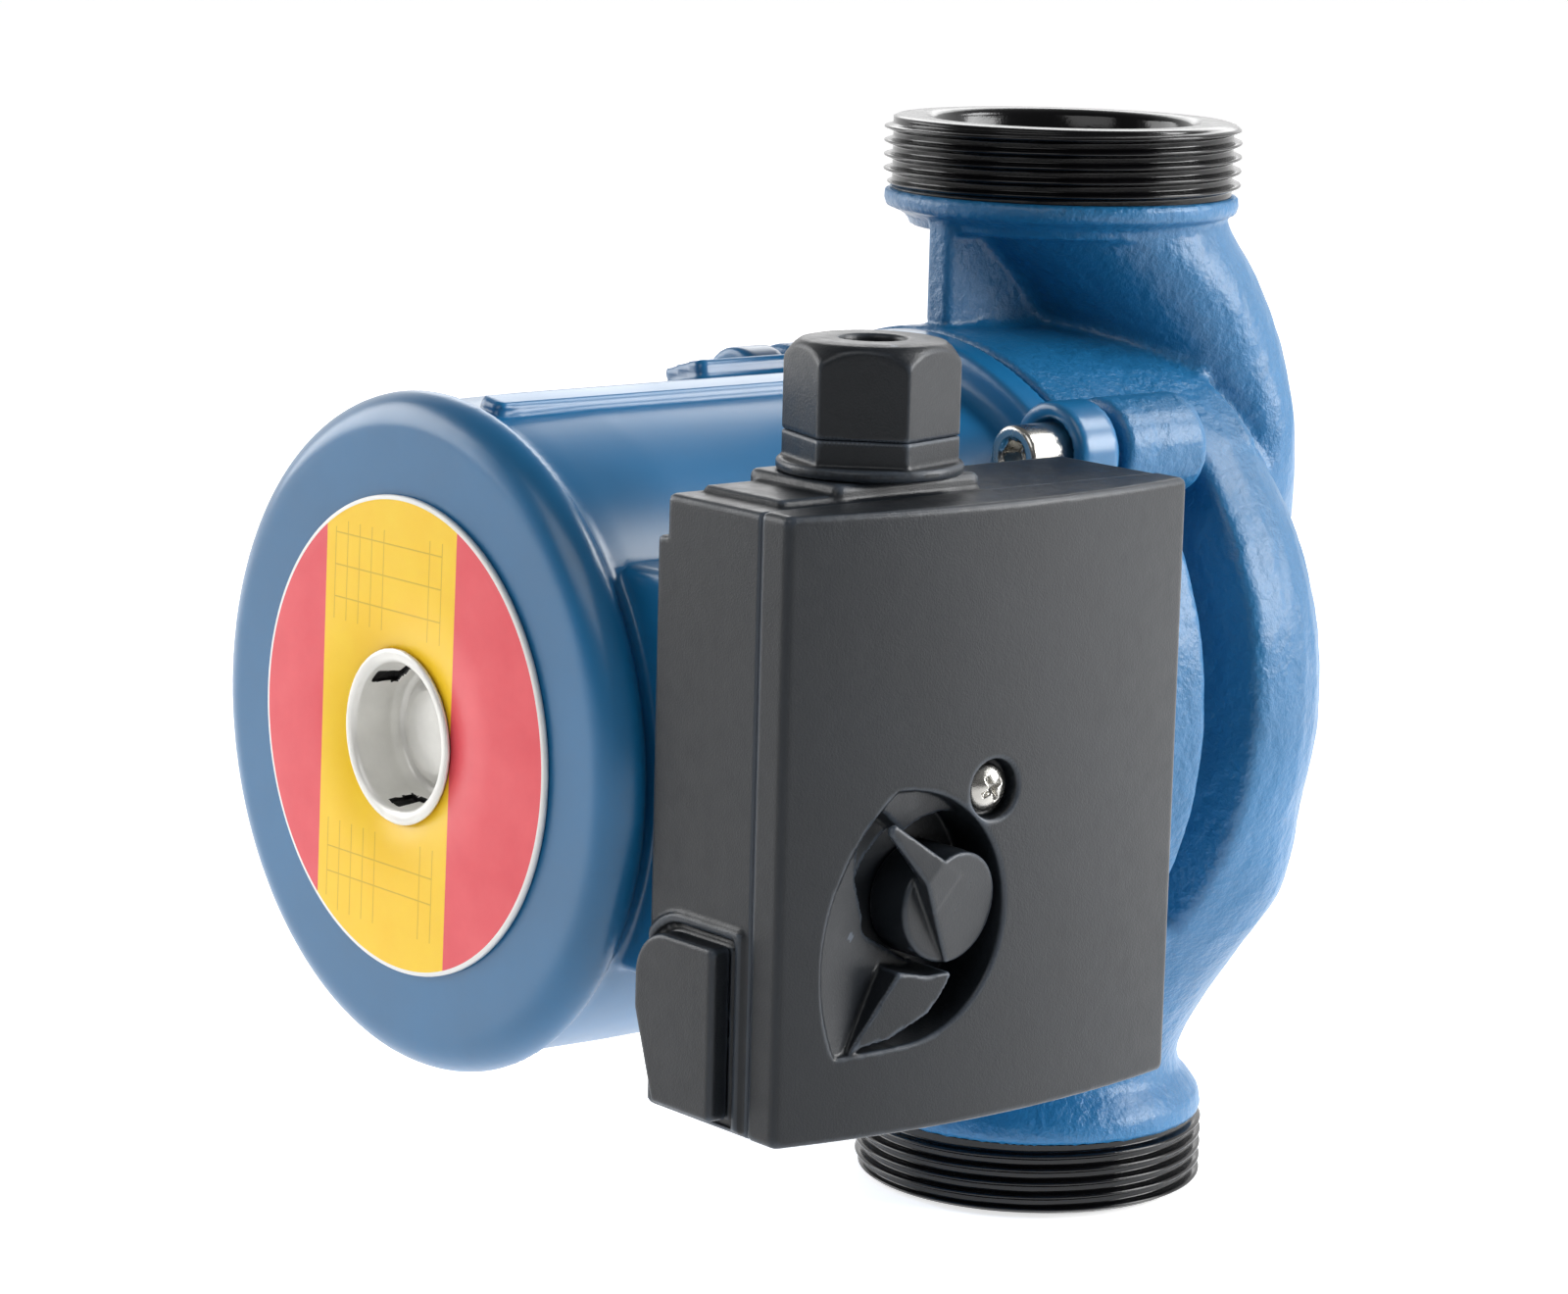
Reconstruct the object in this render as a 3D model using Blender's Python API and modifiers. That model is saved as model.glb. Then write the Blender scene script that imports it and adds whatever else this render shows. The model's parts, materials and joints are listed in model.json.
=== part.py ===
"""Wet-rotor in-line circulator pump, as separate pieces.

Frame: metres, +Z up along the two ports, origin in the middle of the lower
port's face. The motor axis runs along -Y at half the port-to-port length, and
the terminal box sits on the motor's +X side. Lengths below are in millimetres;
"a" is the distance from the port centreline along the motor axis, so a = -y.
"""

import math

import bmesh
import bpy
from mathutils import Matrix, Vector

MM = 0.001

# ---------------------------------------------------------------- driving sizes
PORT_TO_PORT = 180.0
THREAD_OD = 59.3          # G 2 pipe thread, 11 per inch
THREAD_PITCH = 2.309
THREAD_DEPTH = 1.45
THREAD_LEN = 12.0
PORT_BORE = 21.5
COLLAR_R = 29.2
COLLAR_LEN = (4.0, 2.2)   # lower port, upper port

MOTOR_Z = PORT_TO_PORT / 2
MOTOR_R = 52.0
MOTOR_BORE = 48.8
CAP_A = 131.0             # end face of the motor
CAP_FILLET = 7.5
FLANGE_R = 56.3
FLANGE_A = (28.6, 34.0)
SCREW_XZ = (39.5, 41.5)   # flange screws, either side of the motor axis
EAR_R = 8.2
HOUSING_FACE_A = 27.0

PLATE_R = 36.7
PLATE_T = 0.8
PLUG_HOLE_R = 12.9
PLUG_R = 12.4
PLUG_PITCH = 1.5

BOX_X = (55.0, 77.6)      # base of the terminal box
BOX_Y = (-126.3, -50.4)
BOX_Z = (44.6, 134.6)
COVER_X = (78.7, 84.0)
COVER_BOW = 4.5
WALL = 2.3

GLAND_XY = (68.0, -98.3)
GLAND_AF = 22.3
PAD_TOP = 137.0
KNOB_YZ = (-97.4, 76.8)
RECESS_YZ = (-105.5, 76.0)
RECESS_R = 18.6
COVER_SCREW_YZ = (-90.5, 93.2)
BLANK_XZ = (68.5, 60.0)

GAP = 0.3

# ---------------------------------------------------------------- scene set-up
for old in list(bpy.data.objects):
    bpy.data.objects.remove(old, do_unlink=True)

PARTS = bpy.data.collections.new("circulator_pump")
HELPERS = bpy.data.collections.new("cutters")
for collection in (PARTS, HELPERS):
    bpy.context.scene.collection.children.link(collection)

FINISHES = {
    "cast_blue": ((0.040, 0.125, 0.290), 0.55, 0.0),
    "motor_blue": ((0.045, 0.140, 0.320), 0.38, 0.0),
    "black_plastic": ((0.030, 0.033, 0.037), 0.48, 0.0),
    "knob_black": ((0.022, 0.024, 0.027), 0.40, 0.0),
    "steel": ((0.62, 0.61, 0.58), 0.28, 1.0),
    "chrome": ((0.78, 0.78, 0.77), 0.12, 1.0),
    "brass": ((0.70, 0.50, 0.20), 0.30, 1.0),
    "plate": ((0.85, 0.55, 0.05), 0.35, 0.0),
    "rubber": ((0.015, 0.015, 0.016), 0.80, 0.0),
    "carbon": ((0.035, 0.035, 0.038), 0.50, 0.0),
    "ceramic": ((0.85, 0.83, 0.78), 0.30, 0.0),
    "lamination": ((0.36, 0.36, 0.38), 0.45, 0.9),
    "copper": ((0.62, 0.27, 0.12), 0.40, 0.9),
    "composite": ((0.20, 0.21, 0.22), 0.55, 0.0),
    "white_plastic": ((0.75, 0.74, 0.70), 0.45, 0.0),
    "lead_brown": ((0.16, 0.07, 0.03), 0.50, 0.0),
    "lead_blue": ((0.03, 0.10, 0.40), 0.50, 0.0),
}


def finish(name):
    """The Principled material of that name."""
    found = bpy.data.materials.get(name)
    if found:
        return found
    colour, rough, metal = FINISHES[name]
    made = bpy.data.materials.new(name)
    made.use_nodes = True
    shader = made.node_tree.nodes["Principled BSDF"]
    shader.inputs["Base Color"].default_value = (*colour, 1.0)
    shader.inputs["Roughness"].default_value = rough
    shader.inputs["Metallic"].default_value = metal
    made.diffuse_color = (*colour, 1.0)
    return made


def place(name, mesh, mat=None, location=(0, 0, 0), rotation=(0, 0, 0)):
    """An object for the mesh: a part when it has a finish, otherwise a helper."""
    obj = bpy.data.objects.new(name, mesh)
    obj.location = [v * MM for v in location]
    obj.rotation_euler = rotation
    if mat:
        if not mesh.materials:
            mesh.materials.append(finish(mat))
        PARTS.objects.link(obj)
    else:
        HELPERS.objects.link(obj)
        obj.hide_render = True
        obj.display_type = "WIRE"
    return obj


ABOUT_MOTOR = {"location": (0, 0, MOTOR_Z), "rotation": (math.pi / 2, 0, 0)}


def motor_axis_at(x, dz):
    """Placement of a turned piece on an axis parallel to the motor's."""
    return {"location": (x, 0, MOTOR_Z + dz), "rotation": (math.pi / 2, 0, 0)}


def along_x(y, z, x=0.0):
    return {"location": (x, y, z), "rotation": (0, math.pi / 2, 0)}


def turned(name, profile, steps=40, mat=None, location=(0, 0, 0), rotation=(0, 0, 0)):
    """A profile of (radius, height) pairs spun round its own Z axis.

    A profile that starts and ends on the axis makes a solid, any other is
    closed into a ring."""
    area = sum(
        r0 * z1 - r1 * z0
        for (r0, z0), (r1, z1) in zip(profile, profile[1:] + profile[:1])
    )
    points = list(profile if area < 0 else reversed(profile))
    solid = points[0][0] == 0 and points[-1][0] == 0
    edges = [(i, i + 1) for i in range(len(points) - 1)]
    if not solid:
        edges.append((len(points) - 1, 0))
    mesh = bpy.data.meshes.new(name)
    mesh.from_pydata([(r * MM, 0, z * MM) for r, z in points], edges, [])
    obj = place(name, mesh, mat, location, rotation)
    screw = obj.modifiers.new("turn", "SCREW")
    screw.axis = "Z"
    screw.angle = 2 * math.pi
    screw.steps = screw.render_steps = steps
    screw.use_merge_vertices = True
    screw.merge_threshold = 0.00001
    screw.use_smooth_shade = True
    return obj


def block(name, low, high, bevel=0.0, segments=1, mat=None):
    """A box between two corners, with rounded edges."""
    mesh = bpy.data.meshes.new(name)
    bm = bmesh.new()
    bmesh.ops.create_cube(bm, size=1.0)
    size = [(b - a) * MM for a, b in zip(low, high)]
    bmesh.ops.scale(bm, vec=size, verts=bm.verts)
    bm.to_mesh(mesh)
    bm.free()
    obj = place(name, mesh, mat, [(a + b) / 2 for a, b in zip(low, high)])
    if bevel:
        edge = obj.modifiers.new("round", "BEVEL")
        edge.width = bevel * MM
        edge.segments = segments
        edge.limit_method = "NONE"
    return obj


def prism(name, sides, radius, low, high, mat=None, turn=0.0, **where):
    """A regular prism on its own Z axis, from low to high."""
    mesh = bpy.data.meshes.new(name)
    bm = bmesh.new()
    bmesh.ops.create_cone(
        bm,
        cap_ends=True,
        segments=sides,
        radius1=radius * MM,
        radius2=radius * MM,
        depth=(high - low) * MM,
        matrix=Matrix.Translation((0, 0, (low + high) / 2 * MM))
        @ Matrix.Rotation(turn, 4, "Z"),
    )
    bm.to_mesh(mesh)
    bm.free()
    return place(name, mesh, mat, **where)


def as_mesh(obj, name):
    """The evaluated shape of an object as a mesh of its own, with its caps welded."""
    graph = bpy.context.evaluated_depsgraph_get()
    mesh = bpy.data.meshes.new_from_object(obj.evaluated_get(graph))
    mesh.name = name
    bm = bmesh.new()
    bm.from_mesh(mesh)
    bmesh.ops.remove_doubles(bm, verts=bm.verts, dist=0.000002)
    bmesh.ops.recalc_face_normals(bm, faces=bm.faces)
    bm.to_mesh(mesh)
    bm.free()
    return mesh


def outline(name, points, low, high, mat=None, plane="XY"):
    """A flat outline as a filled curve, extruded from low to high across its plane."""
    curve = bpy.data.curves.new(name, "CURVE")
    curve.dimensions = "2D"
    curve.fill_mode = "BOTH"
    curve.extrude = (high - low) / 2 * MM
    spline = curve.splines.new("POLY")
    spline.points.add(len(points) - 1)
    for point, (u, v) in zip(spline.points, points):
        point.co = (u * MM, v * MM, 0, 1)
    spline.use_cyclic_u = True
    made = bpy.data.objects.new(name + "_curve", curve)
    bpy.context.scene.collection.objects.link(made)
    bpy.context.view_layer.update()
    mesh = as_mesh(made, name)
    bpy.data.objects.remove(made, do_unlink=True)
    mid = (low + high) / 2 * MM
    if plane == "XY":
        matrix = Matrix.Translation((0, 0, mid))
    elif plane == "YZ":      # outline u = y, v = z, extruded along x
        matrix = Matrix(((0, 0, 1, mid), (1, 0, 0, 0), (0, 1, 0, 0), (0, 0, 0, 1)))
    else:                    # "XZ": u = x, v = z, extruded along y
        matrix = Matrix(((1, 0, 0, 0), (0, 0, -1, mid), (0, 1, 0, 0), (0, 0, 0, 1)))
    mesh.transform(matrix)
    mesh.materials.clear()
    return place(name, mesh, mat)


def loft(name, sections, sides=20, mat=None):
    """A skin through level ellipses: (z, x centre, y centre, x half, y half)."""
    mesh = bpy.data.meshes.new(name)
    bm = bmesh.new()
    rings = []
    for z, xc, yc, ax, ay in sections:
        ring = []
        for i in range(sides):
            t = 2 * math.pi * i / sides
            ring.append(
                bm.verts.new(
                    ((xc + ax * math.cos(t)) * MM, (yc + ay * math.sin(t)) * MM, z * MM)
                )
            )
        rings.append(ring)
    for low, high in zip(rings, rings[1:]):
        for i in range(sides):
            j = (i + 1) % sides
            bm.faces.new((low[i], low[j], high[j], high[i]))
    bm.faces.new(list(reversed(rings[0])))
    bm.faces.new(rings[-1])
    bmesh.ops.recalc_face_normals(bm, faces=bm.faces)
    bm.to_mesh(mesh)
    bm.free()
    return place(name, mesh, mat)


def boolean(obj, other, operation):
    step = obj.modifiers.new(operation.lower() + "_" + other.name, "BOOLEAN")
    step.operation = operation
    step.solver = "EXACT"
    step.object = other
    return obj


def cut(obj, *others):
    for other in others:
        boolean(obj, other, "DIFFERENCE")


def join(obj, *others):
    for other in others:
        boolean(obj, other, "UNION")


def cylinder(name, radius, low, high, steps=24, **where):
    """A plain turned cylinder, as a helper unless it has a finish."""
    return turned(name, [(0, low), (radius, low), (radius, high), (0, high)], steps, **where)


def disc_ring(inner, outer, low, high):
    return [(inner, low), (outer, low), (outer, high), (inner, high)]


# ---------------------------------------------------------------- pump housing
CREST = THREAD_OD / 2
ROOT = CREST - THREAD_DEPTH


def port_profile(face, inward, collar):
    """Threaded port and collar, from the port face towards the housing."""
    points = [(0, face), (ROOT - 0.3, face)]
    start = 0.9
    count = int((THREAD_LEN - start) / THREAD_PITCH)
    for k in range(count):
        at = start + k * THREAD_PITCH
        points.append((CREST, face + inward * (at + 0.45 * THREAD_PITCH)))
        points.append((ROOT, face + inward * (at + 1.0 * THREAD_PITCH)))
    points += [
        (COLLAR_R, face + inward * (THREAD_LEN + 0.4)),
        (COLLAR_R, face + inward * (THREAD_LEN + collar)),
        (22.8, face + inward * (THREAD_LEN + collar + 2.0)),
        (0, face + inward * (THREAD_LEN + collar + 2.0)),
    ]
    return points


pump_housing = turned(
    "pump_housing",
    [
        (0, HOUSING_FACE_A), (56.5, HOUSING_FACE_A), (56.5, 17.2), (48.5, 14.0),
        (46.8, 11.2), (48.5, 8.6), (54.4, 5.6), (56.2, -2.0), (54.0, -9.8),
        (47.8, -17.0), (36.0, -22.8), (20.0, -26.6), (0, -27.4),
    ],
    36, mat="cast_blue", **ABOUT_MOTOR,
)
top_neck = loft(
    "top_neck",
    [
        (76, 0, 12.0, 20, 13), (92, 0, 14.2, 28.6, 20), (112, 0, 17.0, 32, 23.6),
        (129, 0, 21.6, 32, 15.4), (142, 0, 18.0, 30.0, 19.0), (154, 0, 11.0, 28.4, 22.0),
        (162, 0, 4.6, 26.4, 24.0), (167, 0, 1.8, 25.6, 25.2),
    ],
)
bottom_neck = loft(
    "bottom_neck",
    [
        (15.5, 0, 0, 24.4, 24.4), (22, 0, 0, 24.4, 24.2), (30, 0, 2.4, 28.2, 23.3),
        (44, 0, 5.2, 37.8, 23.0), (56, 0, 7.0, 45.8, 22.8), (68, 0, 6.4, 47.6, 20.6),
        (80, 0, 5.0, 42.0, 16.0),
    ],
)
top_rib = block("top_rib", (-3.2, -26.2, 147.2), (2.4, 4.0, 165.5), 1.2, 1)
bottom_rib = block("bottom_rib", (-6.0, -21.0, 14.5), (6.0, 4.0, 50), 2.0, 2)
port_top = turned("port_top", port_profile(PORT_TO_PORT, -1, COLLAR_LEN[1]), 28)
port_bottom = turned("port_bottom", port_profile(0.0, 1, COLLAR_LEN[0]), 28)
join(pump_housing, top_neck, bottom_neck, top_rib, bottom_rib, port_top, port_bottom)
CORNERS = [(sx, sz) for sz in (1, -1) for sx in (1, -1)]
for number, (sx, sz) in enumerate(CORNERS, 1):
    where = motor_axis_at(sx * SCREW_XZ[0], sz * SCREW_XZ[1])
    boss = turned(
        f"housing_boss_{number}",
        [(0, -6.0), (EAR_R - 2.0, -5.0), (EAR_R, 0.0), (EAR_R, 26.4), (0, 26.4)],
        12, **where,
    )
    join(pump_housing, boss)
chamber = turned(
    "impeller_chamber",
    [(0, 29), (45.5, 29), (45.5, 14.5), (41, 14.5), (41, -3.5), (20.8, -3.5),
     (20.8, -6.6), (14.0, -6.6), (14.0, -19.0), (0, -19.0)],
    28, **ABOUT_MOTOR,
)
top_passage = loft(
    "top_passage",
    [(78, 0, 18.5, 14, 9.0), (104, 0, 19.0, 18.5, 10.2), (122, 0, 20.6, 19.5, 11.4),
     (144, 0, 16.6, 20.6, 14.8), (157, 0, 8.2, 21.0, 18.2), (170, 0, 0.3, PORT_BORE, PORT_BORE),
     (182, 0, 0, PORT_BORE, PORT_BORE)],
    16,
)
bottom_passage = loft(
    "bottom_passage",
    [(-2, 0, 0, PORT_BORE, PORT_BORE), (16, 0, 0, PORT_BORE, PORT_BORE),
     (28, 0, -1.0, 21.0, 16.0), (40, 0, -3.4, 20.5, 10.0), (60, 0, -5.0, 20.0, 8.4)],
    16,
)
cut(pump_housing, chamber, top_passage, bottom_passage)
for number, (sx, sz) in enumerate(CORNERS, 1):
    where = motor_axis_at(sx * SCREW_XZ[0], sz * SCREW_XZ[1])
    cut(pump_housing, cylinder(f"tapped_hole_{number}", 3.3, 2.5, 28, 10, **where))

turned("wear_ring", disc_ring(17.95, 20.5, -6.2, -3.8), 22, mat="steel", **ABOUT_MOTOR)

# ---------------------------------------------------------------- rotor
impeller = turned(
    "impeller",
    [(6.3, 10.6), (11.5, 10.6), (12.5, 9.0), (36.0, 8.6), (36.0, 6.9), (12.0, 6.6),
     (10.0, 0.6), (6.3, 0.2)],
    20, mat="composite", **ABOUT_MOTOR,
)
eye_shroud = turned(
    "eye_shroud",
    [(15.0, -5.6), (17.6, -5.6), (17.6, -2.4), (36.0, -1.6), (36.0, 0.4), (18.5, -0.4), (15.0, -1.6)],
    20, **ABOUT_MOTOR,
)
join(impeller, eye_shroud)
VANES = 5
for k in range(VANES):
    middle = []
    for i in range(4):
        radius = 13.0 + (34.8 - 13.0) * i / 3
        swing = 2 * math.pi * k / VANES - 0.95 * i / 3
        middle.append((radius * math.cos(swing), radius * math.sin(swing)))
    sides = []
    for sign in (1, -1):
        run = []
        for i, (u, v) in enumerate(middle):
            before, after = middle[max(i - 1, 0)], middle[min(i + 1, 3)]
            du, dv = after[0] - before[0], after[1] - before[1]
            size = math.hypot(du, dv)
            run.append((u - sign * 0.8 * dv / size, v + sign * 0.8 * du / size))
        sides.append(run)
    vane = outline(f"vane_{k + 1}", sides[0] + sides[1][::-1], -0.9, 7.4)
    vane.location = (0, 0, MOTOR_Z * MM)
    vane.rotation_euler = (math.pi / 2, 0, 0)
    join(impeller, vane)
impeller_nut = prism("impeller_nut", 6, 9.5, -3.4, -0.2, mat="brass", **ABOUT_MOTOR)
cut(impeller_nut, cylinder("nut_thread", 6.35, -6, 3, 18, **ABOUT_MOTOR))
rotor_shaft = turned(
    "rotor_shaft",
    [(0, -4.6), (5.4, -4.6), (6.0, -4.0), (6.0, 112.0), (5.4, 112.6), (0, 112.6)],
    18, mat="ceramic", **ABOUT_MOTOR,
)
cut(rotor_shaft, block("shaft_slot", (-7, -115.0, MOTOR_Z - 0.8), (7, -110.6, MOTOR_Z + 0.8)))
turned(
    "rotor_core",
    [(6.3, 36.0), (22.5, 36.0), (24.6, 38.0), (24.6, 92.0), (22.5, 94.0), (6.3, 94.0)],
    22, mat="lamination", **ABOUT_MOTOR,
)
turned("thrust_collar", disc_ring(6.3, 12.0, 28.0, 31.5), 18, mat="steel", **ABOUT_MOTOR)

# ---------------------------------------------------------------- bearings and can
turned("thrust_bearing", disc_ring(6.4, 11.6, 25.4, 27.6), 18, mat="carbon", **ABOUT_MOTOR)
turned("rear_bearing", disc_ring(6.3, 9.5, 12.2, 24.6), 18, mat="ceramic", **ABOUT_MOTOR)
turned("front_bearing", disc_ring(6.3, 9.5, 103.0, 113.5), 18, mat="ceramic", **ABOUT_MOTOR)
turned(
    "bearing_plate",
    [(9.8, 25.0), (13.0, 25.0), (13.0, 20.6), (45.0, 20.6), (45.0, 14.9), (38.0, 14.9),
     (34.0, 12.6), (15.0, 12.6), (13.0, 11.6), (9.8, 11.6)],
    24, mat="steel", **ABOUT_MOTOR,
)
turned(
    "rotor_can",
    [(26.0, 21.0), (44.6, 21.0), (44.6, 21.9), (26.7, 21.9), (26.7, 100.6), (12.6, 100.6),
     (12.6, 119.8), (9.8, 119.8), (9.8, 99.8), (26.0, 99.8)],
    24, mat="steel", **ABOUT_MOTOR,
)
turned("housing_gasket", disc_ring(46.6, 53.0, 27.3, 28.3), 28, mat="rubber", **ABOUT_MOTOR)

# ---------------------------------------------------------------- motor housing
fillet = []
for k in range(4):
    t = math.pi / 2 * k / 3
    fillet.append(
        (MOTOR_R - CAP_FILLET * (1 - math.sin(t)), CAP_A - CAP_FILLET * (1 - math.cos(t)))
    )
motor_housing = turned(
    "motor_housing",
    [(PLUG_HOLE_R, CAP_A)] + fillet
    + [(MOTOR_R, FLANGE_A[1] + 4.0), (MOTOR_R + 1.4, FLANGE_A[1] + 1.0),
       (FLANGE_R - 0.8, FLANGE_A[1]), (FLANGE_R, FLANGE_A[1] - 0.8), (FLANGE_R, FLANGE_A[0]),
       (MOTOR_BORE, FLANGE_A[0]), (MOTOR_BORE, 119.0), (45.0, 126.0), (PLUG_HOLE_R, 126.0)],
    36, mat="motor_blue", **ABOUT_MOTOR,
)
box_pad = block("box_pad", (40.0, -125.6, 60.5), (54.6, -52.5, 119.5), 2.2, 2)
pad_trim = cylinder("pad_trim", MOTOR_BORE + 1.0, 20, 119.0, 36, **ABOUT_MOTOR)
pad_front = block("pad_front", (30.0, -127.0, 50.0), (46.5, -118.0, 130.0))
cut(box_pad, pad_trim, pad_front)
join(motor_housing, box_pad)
for number, (sx, sz) in enumerate(CORNERS, 1):
    where = motor_axis_at(sx * SCREW_XZ[0], sz * SCREW_XZ[1])
    ear = turned(
        f"motor_ear_{number}",
        [(0, 29.2), (EAR_R, 29.2), (EAR_R, 34.8), (EAR_R - 0.8, 35.6), (0, 35.6)],
        12, **where,
    )
    join(motor_housing, ear)
ear_clear = cylinder("ear_clear", MOTOR_BORE, 20.0, 38.0, 36, **ABOUT_MOTOR)
cut(motor_housing, ear_clear)
for number, (sx, sz) in enumerate(CORNERS, 1):
    where = motor_axis_at(sx * SCREW_XZ[0], sz * SCREW_XZ[1])
    cut(motor_housing, cylinder(f"screw_hole_{number}", 3.4, 20, 40, 10, **where),
        cylinder(f"spot_face_{number}", 5.25, 35.65, 48, 16, **where))
LEAD_HOLE_YZ = (-115.0, 104.0)
cut(motor_housing, cylinder("lead_hole_pad", 4.6, 30, 60, 12, **along_x(*LEAD_HOLE_YZ)))
BASE_SCREWS = [(-119.0, 74.0), (-78.0, 74.0)]
for number, (y, z) in enumerate(BASE_SCREWS, 1):
    cut(motor_housing, cylinder(f"base_screw_hole_{number}", 2.3, 50.6, 60, 8, **along_x(y, z)))

turned("stator_core", disc_ring(27.2, 48.4, 35.0, 95.0), 28, mat="lamination", **ABOUT_MOTOR)
turned(
    "winding_front",
    [(29.0, 95.8), (44.0, 95.8), (45.5, 99.0), (43.0, 107.5), (38.0, 110.0), (32.0, 108.5), (29.0, 104.0)],
    20, mat="copper", **ABOUT_MOTOR,
)
turned(
    "winding_rear",
    [(29.0, 34.2), (44.0, 34.2), (45.5, 31.5), (43.0, 25.4), (38.0, 23.4), (32.0, 24.2), (29.0, 28.0)],
    20, mat="copper", **ABOUT_MOTOR,
)

# ---------------------------------------------------------------- motor end
turned(
    "rating_plate",
    disc_ring(PLUG_HOLE_R + 0.1, PLATE_R, CAP_A + 0.25, CAP_A + 0.25 + PLATE_T),
    36, mat="plate", **ABOUT_MOTOR,
)
vent_plug = turned(
    "vent_plug",
    [(0, 113.8), (7.0, 113.8), (7.8, 114.6), (7.8, 123.2), (PLUG_R, 123.2), (PLUG_R, 132.4),
     (PLUG_R - 0.6, 132.9), (PLUG_R - 1.7, 132.9), (PLUG_R - 2.2, 132.2), (9.6, 126.6),
     (8.2, 125.4), (8.0, 126.2), (0, 126.6)],
    24, mat="chrome", **ABOUT_MOTOR,
)
cut(vent_plug, block("plug_slot", (-1.7, -134.5, MOTOR_Z - 20), (1.7, -128.4, MOTOR_Z + 20)))
ring = [(9.9 + 1.15 * math.cos(2 * math.pi * k / 6), 121.75 + 1.15 * math.sin(2 * math.pi * k / 6))
        for k in range(6)]
turned("vent_o_ring", ring, 20, mat="rubber", **ABOUT_MOTOR)

# ---------------------------------------------------------------- flange screws
screw_shape = turned(
    "flange_screw_shape",
    [(0, 4.0), (2.4, 4.0), (3.0, 5.0), (3.0, 36.0), (5.0, 36.0), (5.0, 44.4), (4.4, 45.0), (0, 45.0)],
    14, mat="steel", **motor_axis_at(*SCREW_XZ),
)
cut(screw_shape, prism("hex_socket", 6, 2.9, 40.4, 47, **motor_axis_at(*SCREW_XZ)))
bpy.context.view_layer.update()
screw_mesh = as_mesh(screw_shape, "flange_screw")
bpy.data.objects.remove(screw_shape, do_unlink=True)
for number, (sx, sz) in enumerate(CORNERS, 1):
    place(f"flange_screw_{number}", screw_mesh, "steel",
          **motor_axis_at(sx * SCREW_XZ[0], sz * SCREW_XZ[1]))

# ---------------------------------------------------------------- terminal box base
terminal_box_base = block(
    "terminal_box_base", (BOX_X[0], BOX_Y[0], BOX_Z[0]), (BOX_X[1], BOX_Y[1], BOX_Z[1]), 1.6, 2,
    mat="black_plastic",
)
gland_pad = block(
    "gland_pad", (GLAND_XY[0] - 12.6, GLAND_XY[1] - 13.4, BOX_Z[1] - 3.0),
    (GLAND_XY[0] + 9.0, GLAND_XY[1] + 13.4, PAD_TOP), 1.0, 1,
)
join(terminal_box_base, gland_pad)
cut(
    terminal_box_base,
    block("box_inside", (BOX_X[0] + 2.6, BOX_Y[0] + WALL, BOX_Z[0] + WALL),
          (BOX_X[1] + 5, BOX_Y[1] - WALL, BOX_Z[1] - WALL)),
    block("box_top_step", (BOX_X[0] - 6, BOX_Y[0] - 4, 128.2), (BOX_X[0] + 2.2, BOX_Y[1] + 4, BOX_Z[1] + 6)),
    cylinder("gland_hole", 8.6, BOX_Z[1] - 8, PAD_TOP + 4, 20, location=(*GLAND_XY, 0)),
    cylinder("lead_hole_box", 4.6, BOX_X[0] - 4, BOX_X[0] + 8, 12, **along_x(*LEAD_HOLE_YZ)),
)
for number, (y, z) in enumerate(BASE_SCREWS, 1):
    cut(terminal_box_base,
        cylinder(f"base_screw_clear_{number}", 2.4, BOX_X[0] - 4, BOX_X[0] + 8, 8, **along_x(y, z)))
blank_axis = {"location": (BLANK_XZ[0], 0, BLANK_XZ[1]), "rotation": (math.pi / 2, 0, 0)}
cut(terminal_box_base, cylinder("blank_hole", 7.0, -BOX_Y[0] - 8, -BOX_Y[0] + 8, 16, **blank_axis))

entry_blank = turned(
    "entry_blank",
    [(0, -BOX_Y[0] - 5.0), (5.8, -BOX_Y[0] - 5.0), (6.6, -BOX_Y[0] - 4.2), (6.6, -BOX_Y[0] + 0.35),
     (12.6, -BOX_Y[0] + 0.35), (12.6, -BOX_Y[0] + 2.6), (11.8, -BOX_Y[0] + 3.6), (0, -BOX_Y[0] + 3.8)],
    20, mat="black_plastic", **blank_axis,
)
cut(entry_blank, block("blank_flat", (BLANK_XZ[0] + 5.7, -150, 20), (BLANK_XZ[0] + 30, BOX_Y[0] - 0.9, 110)))

BASE_SCREW_PROFILE = [(0, 51.2), (2.0, 51.2), (2.0, BOX_X[0] + 3.0), (3.6, BOX_X[0] + 3.0),
                      (3.6, BOX_X[0] + 4.4), (2.4, BOX_X[0] + 5.4), (0, BOX_X[0] + 5.4)]
for number, (y, z) in enumerate(BASE_SCREWS, 1):
    turned(f"base_screw_{number}", BASE_SCREW_PROFILE, 12, mat="steel", **along_x(y, z))

# ---------------------------------------------------------------- gland
hex_turn = math.radians(14.0)   # a flat towards -46 degrees, the front corner of the box
gland_body = prism("gland_body", 6, GLAND_AF / 2 / math.cos(math.pi / 6), PAD_TOP + GAP, 142.2,
                   mat="black_plastic", turn=hex_turn, location=(*GLAND_XY, 0))
join(gland_body, turned(
    "gland_stem", [(0, 126.0), (8.2, 126.0), (8.2, 139.0), (8.8, 139.0), (8.8, 148.8), (0, 148.8)],
    20, location=(*GLAND_XY, 0)))
cut(gland_body, turned(
    "gland_bore", [(0, 124), (4.6, 124), (4.6, 142.4), (7.2, 143.4), (7.2, 153), (0, 153)],
    18, location=(*GLAND_XY, 0)))
turned("gland_lock_nut", [(8.6, 128.0), (9.5, 128.0), (9.5, 131.9), (8.6, 131.9)], 18,
       mat="black_plastic", location=(*GLAND_XY, 0))
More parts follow.
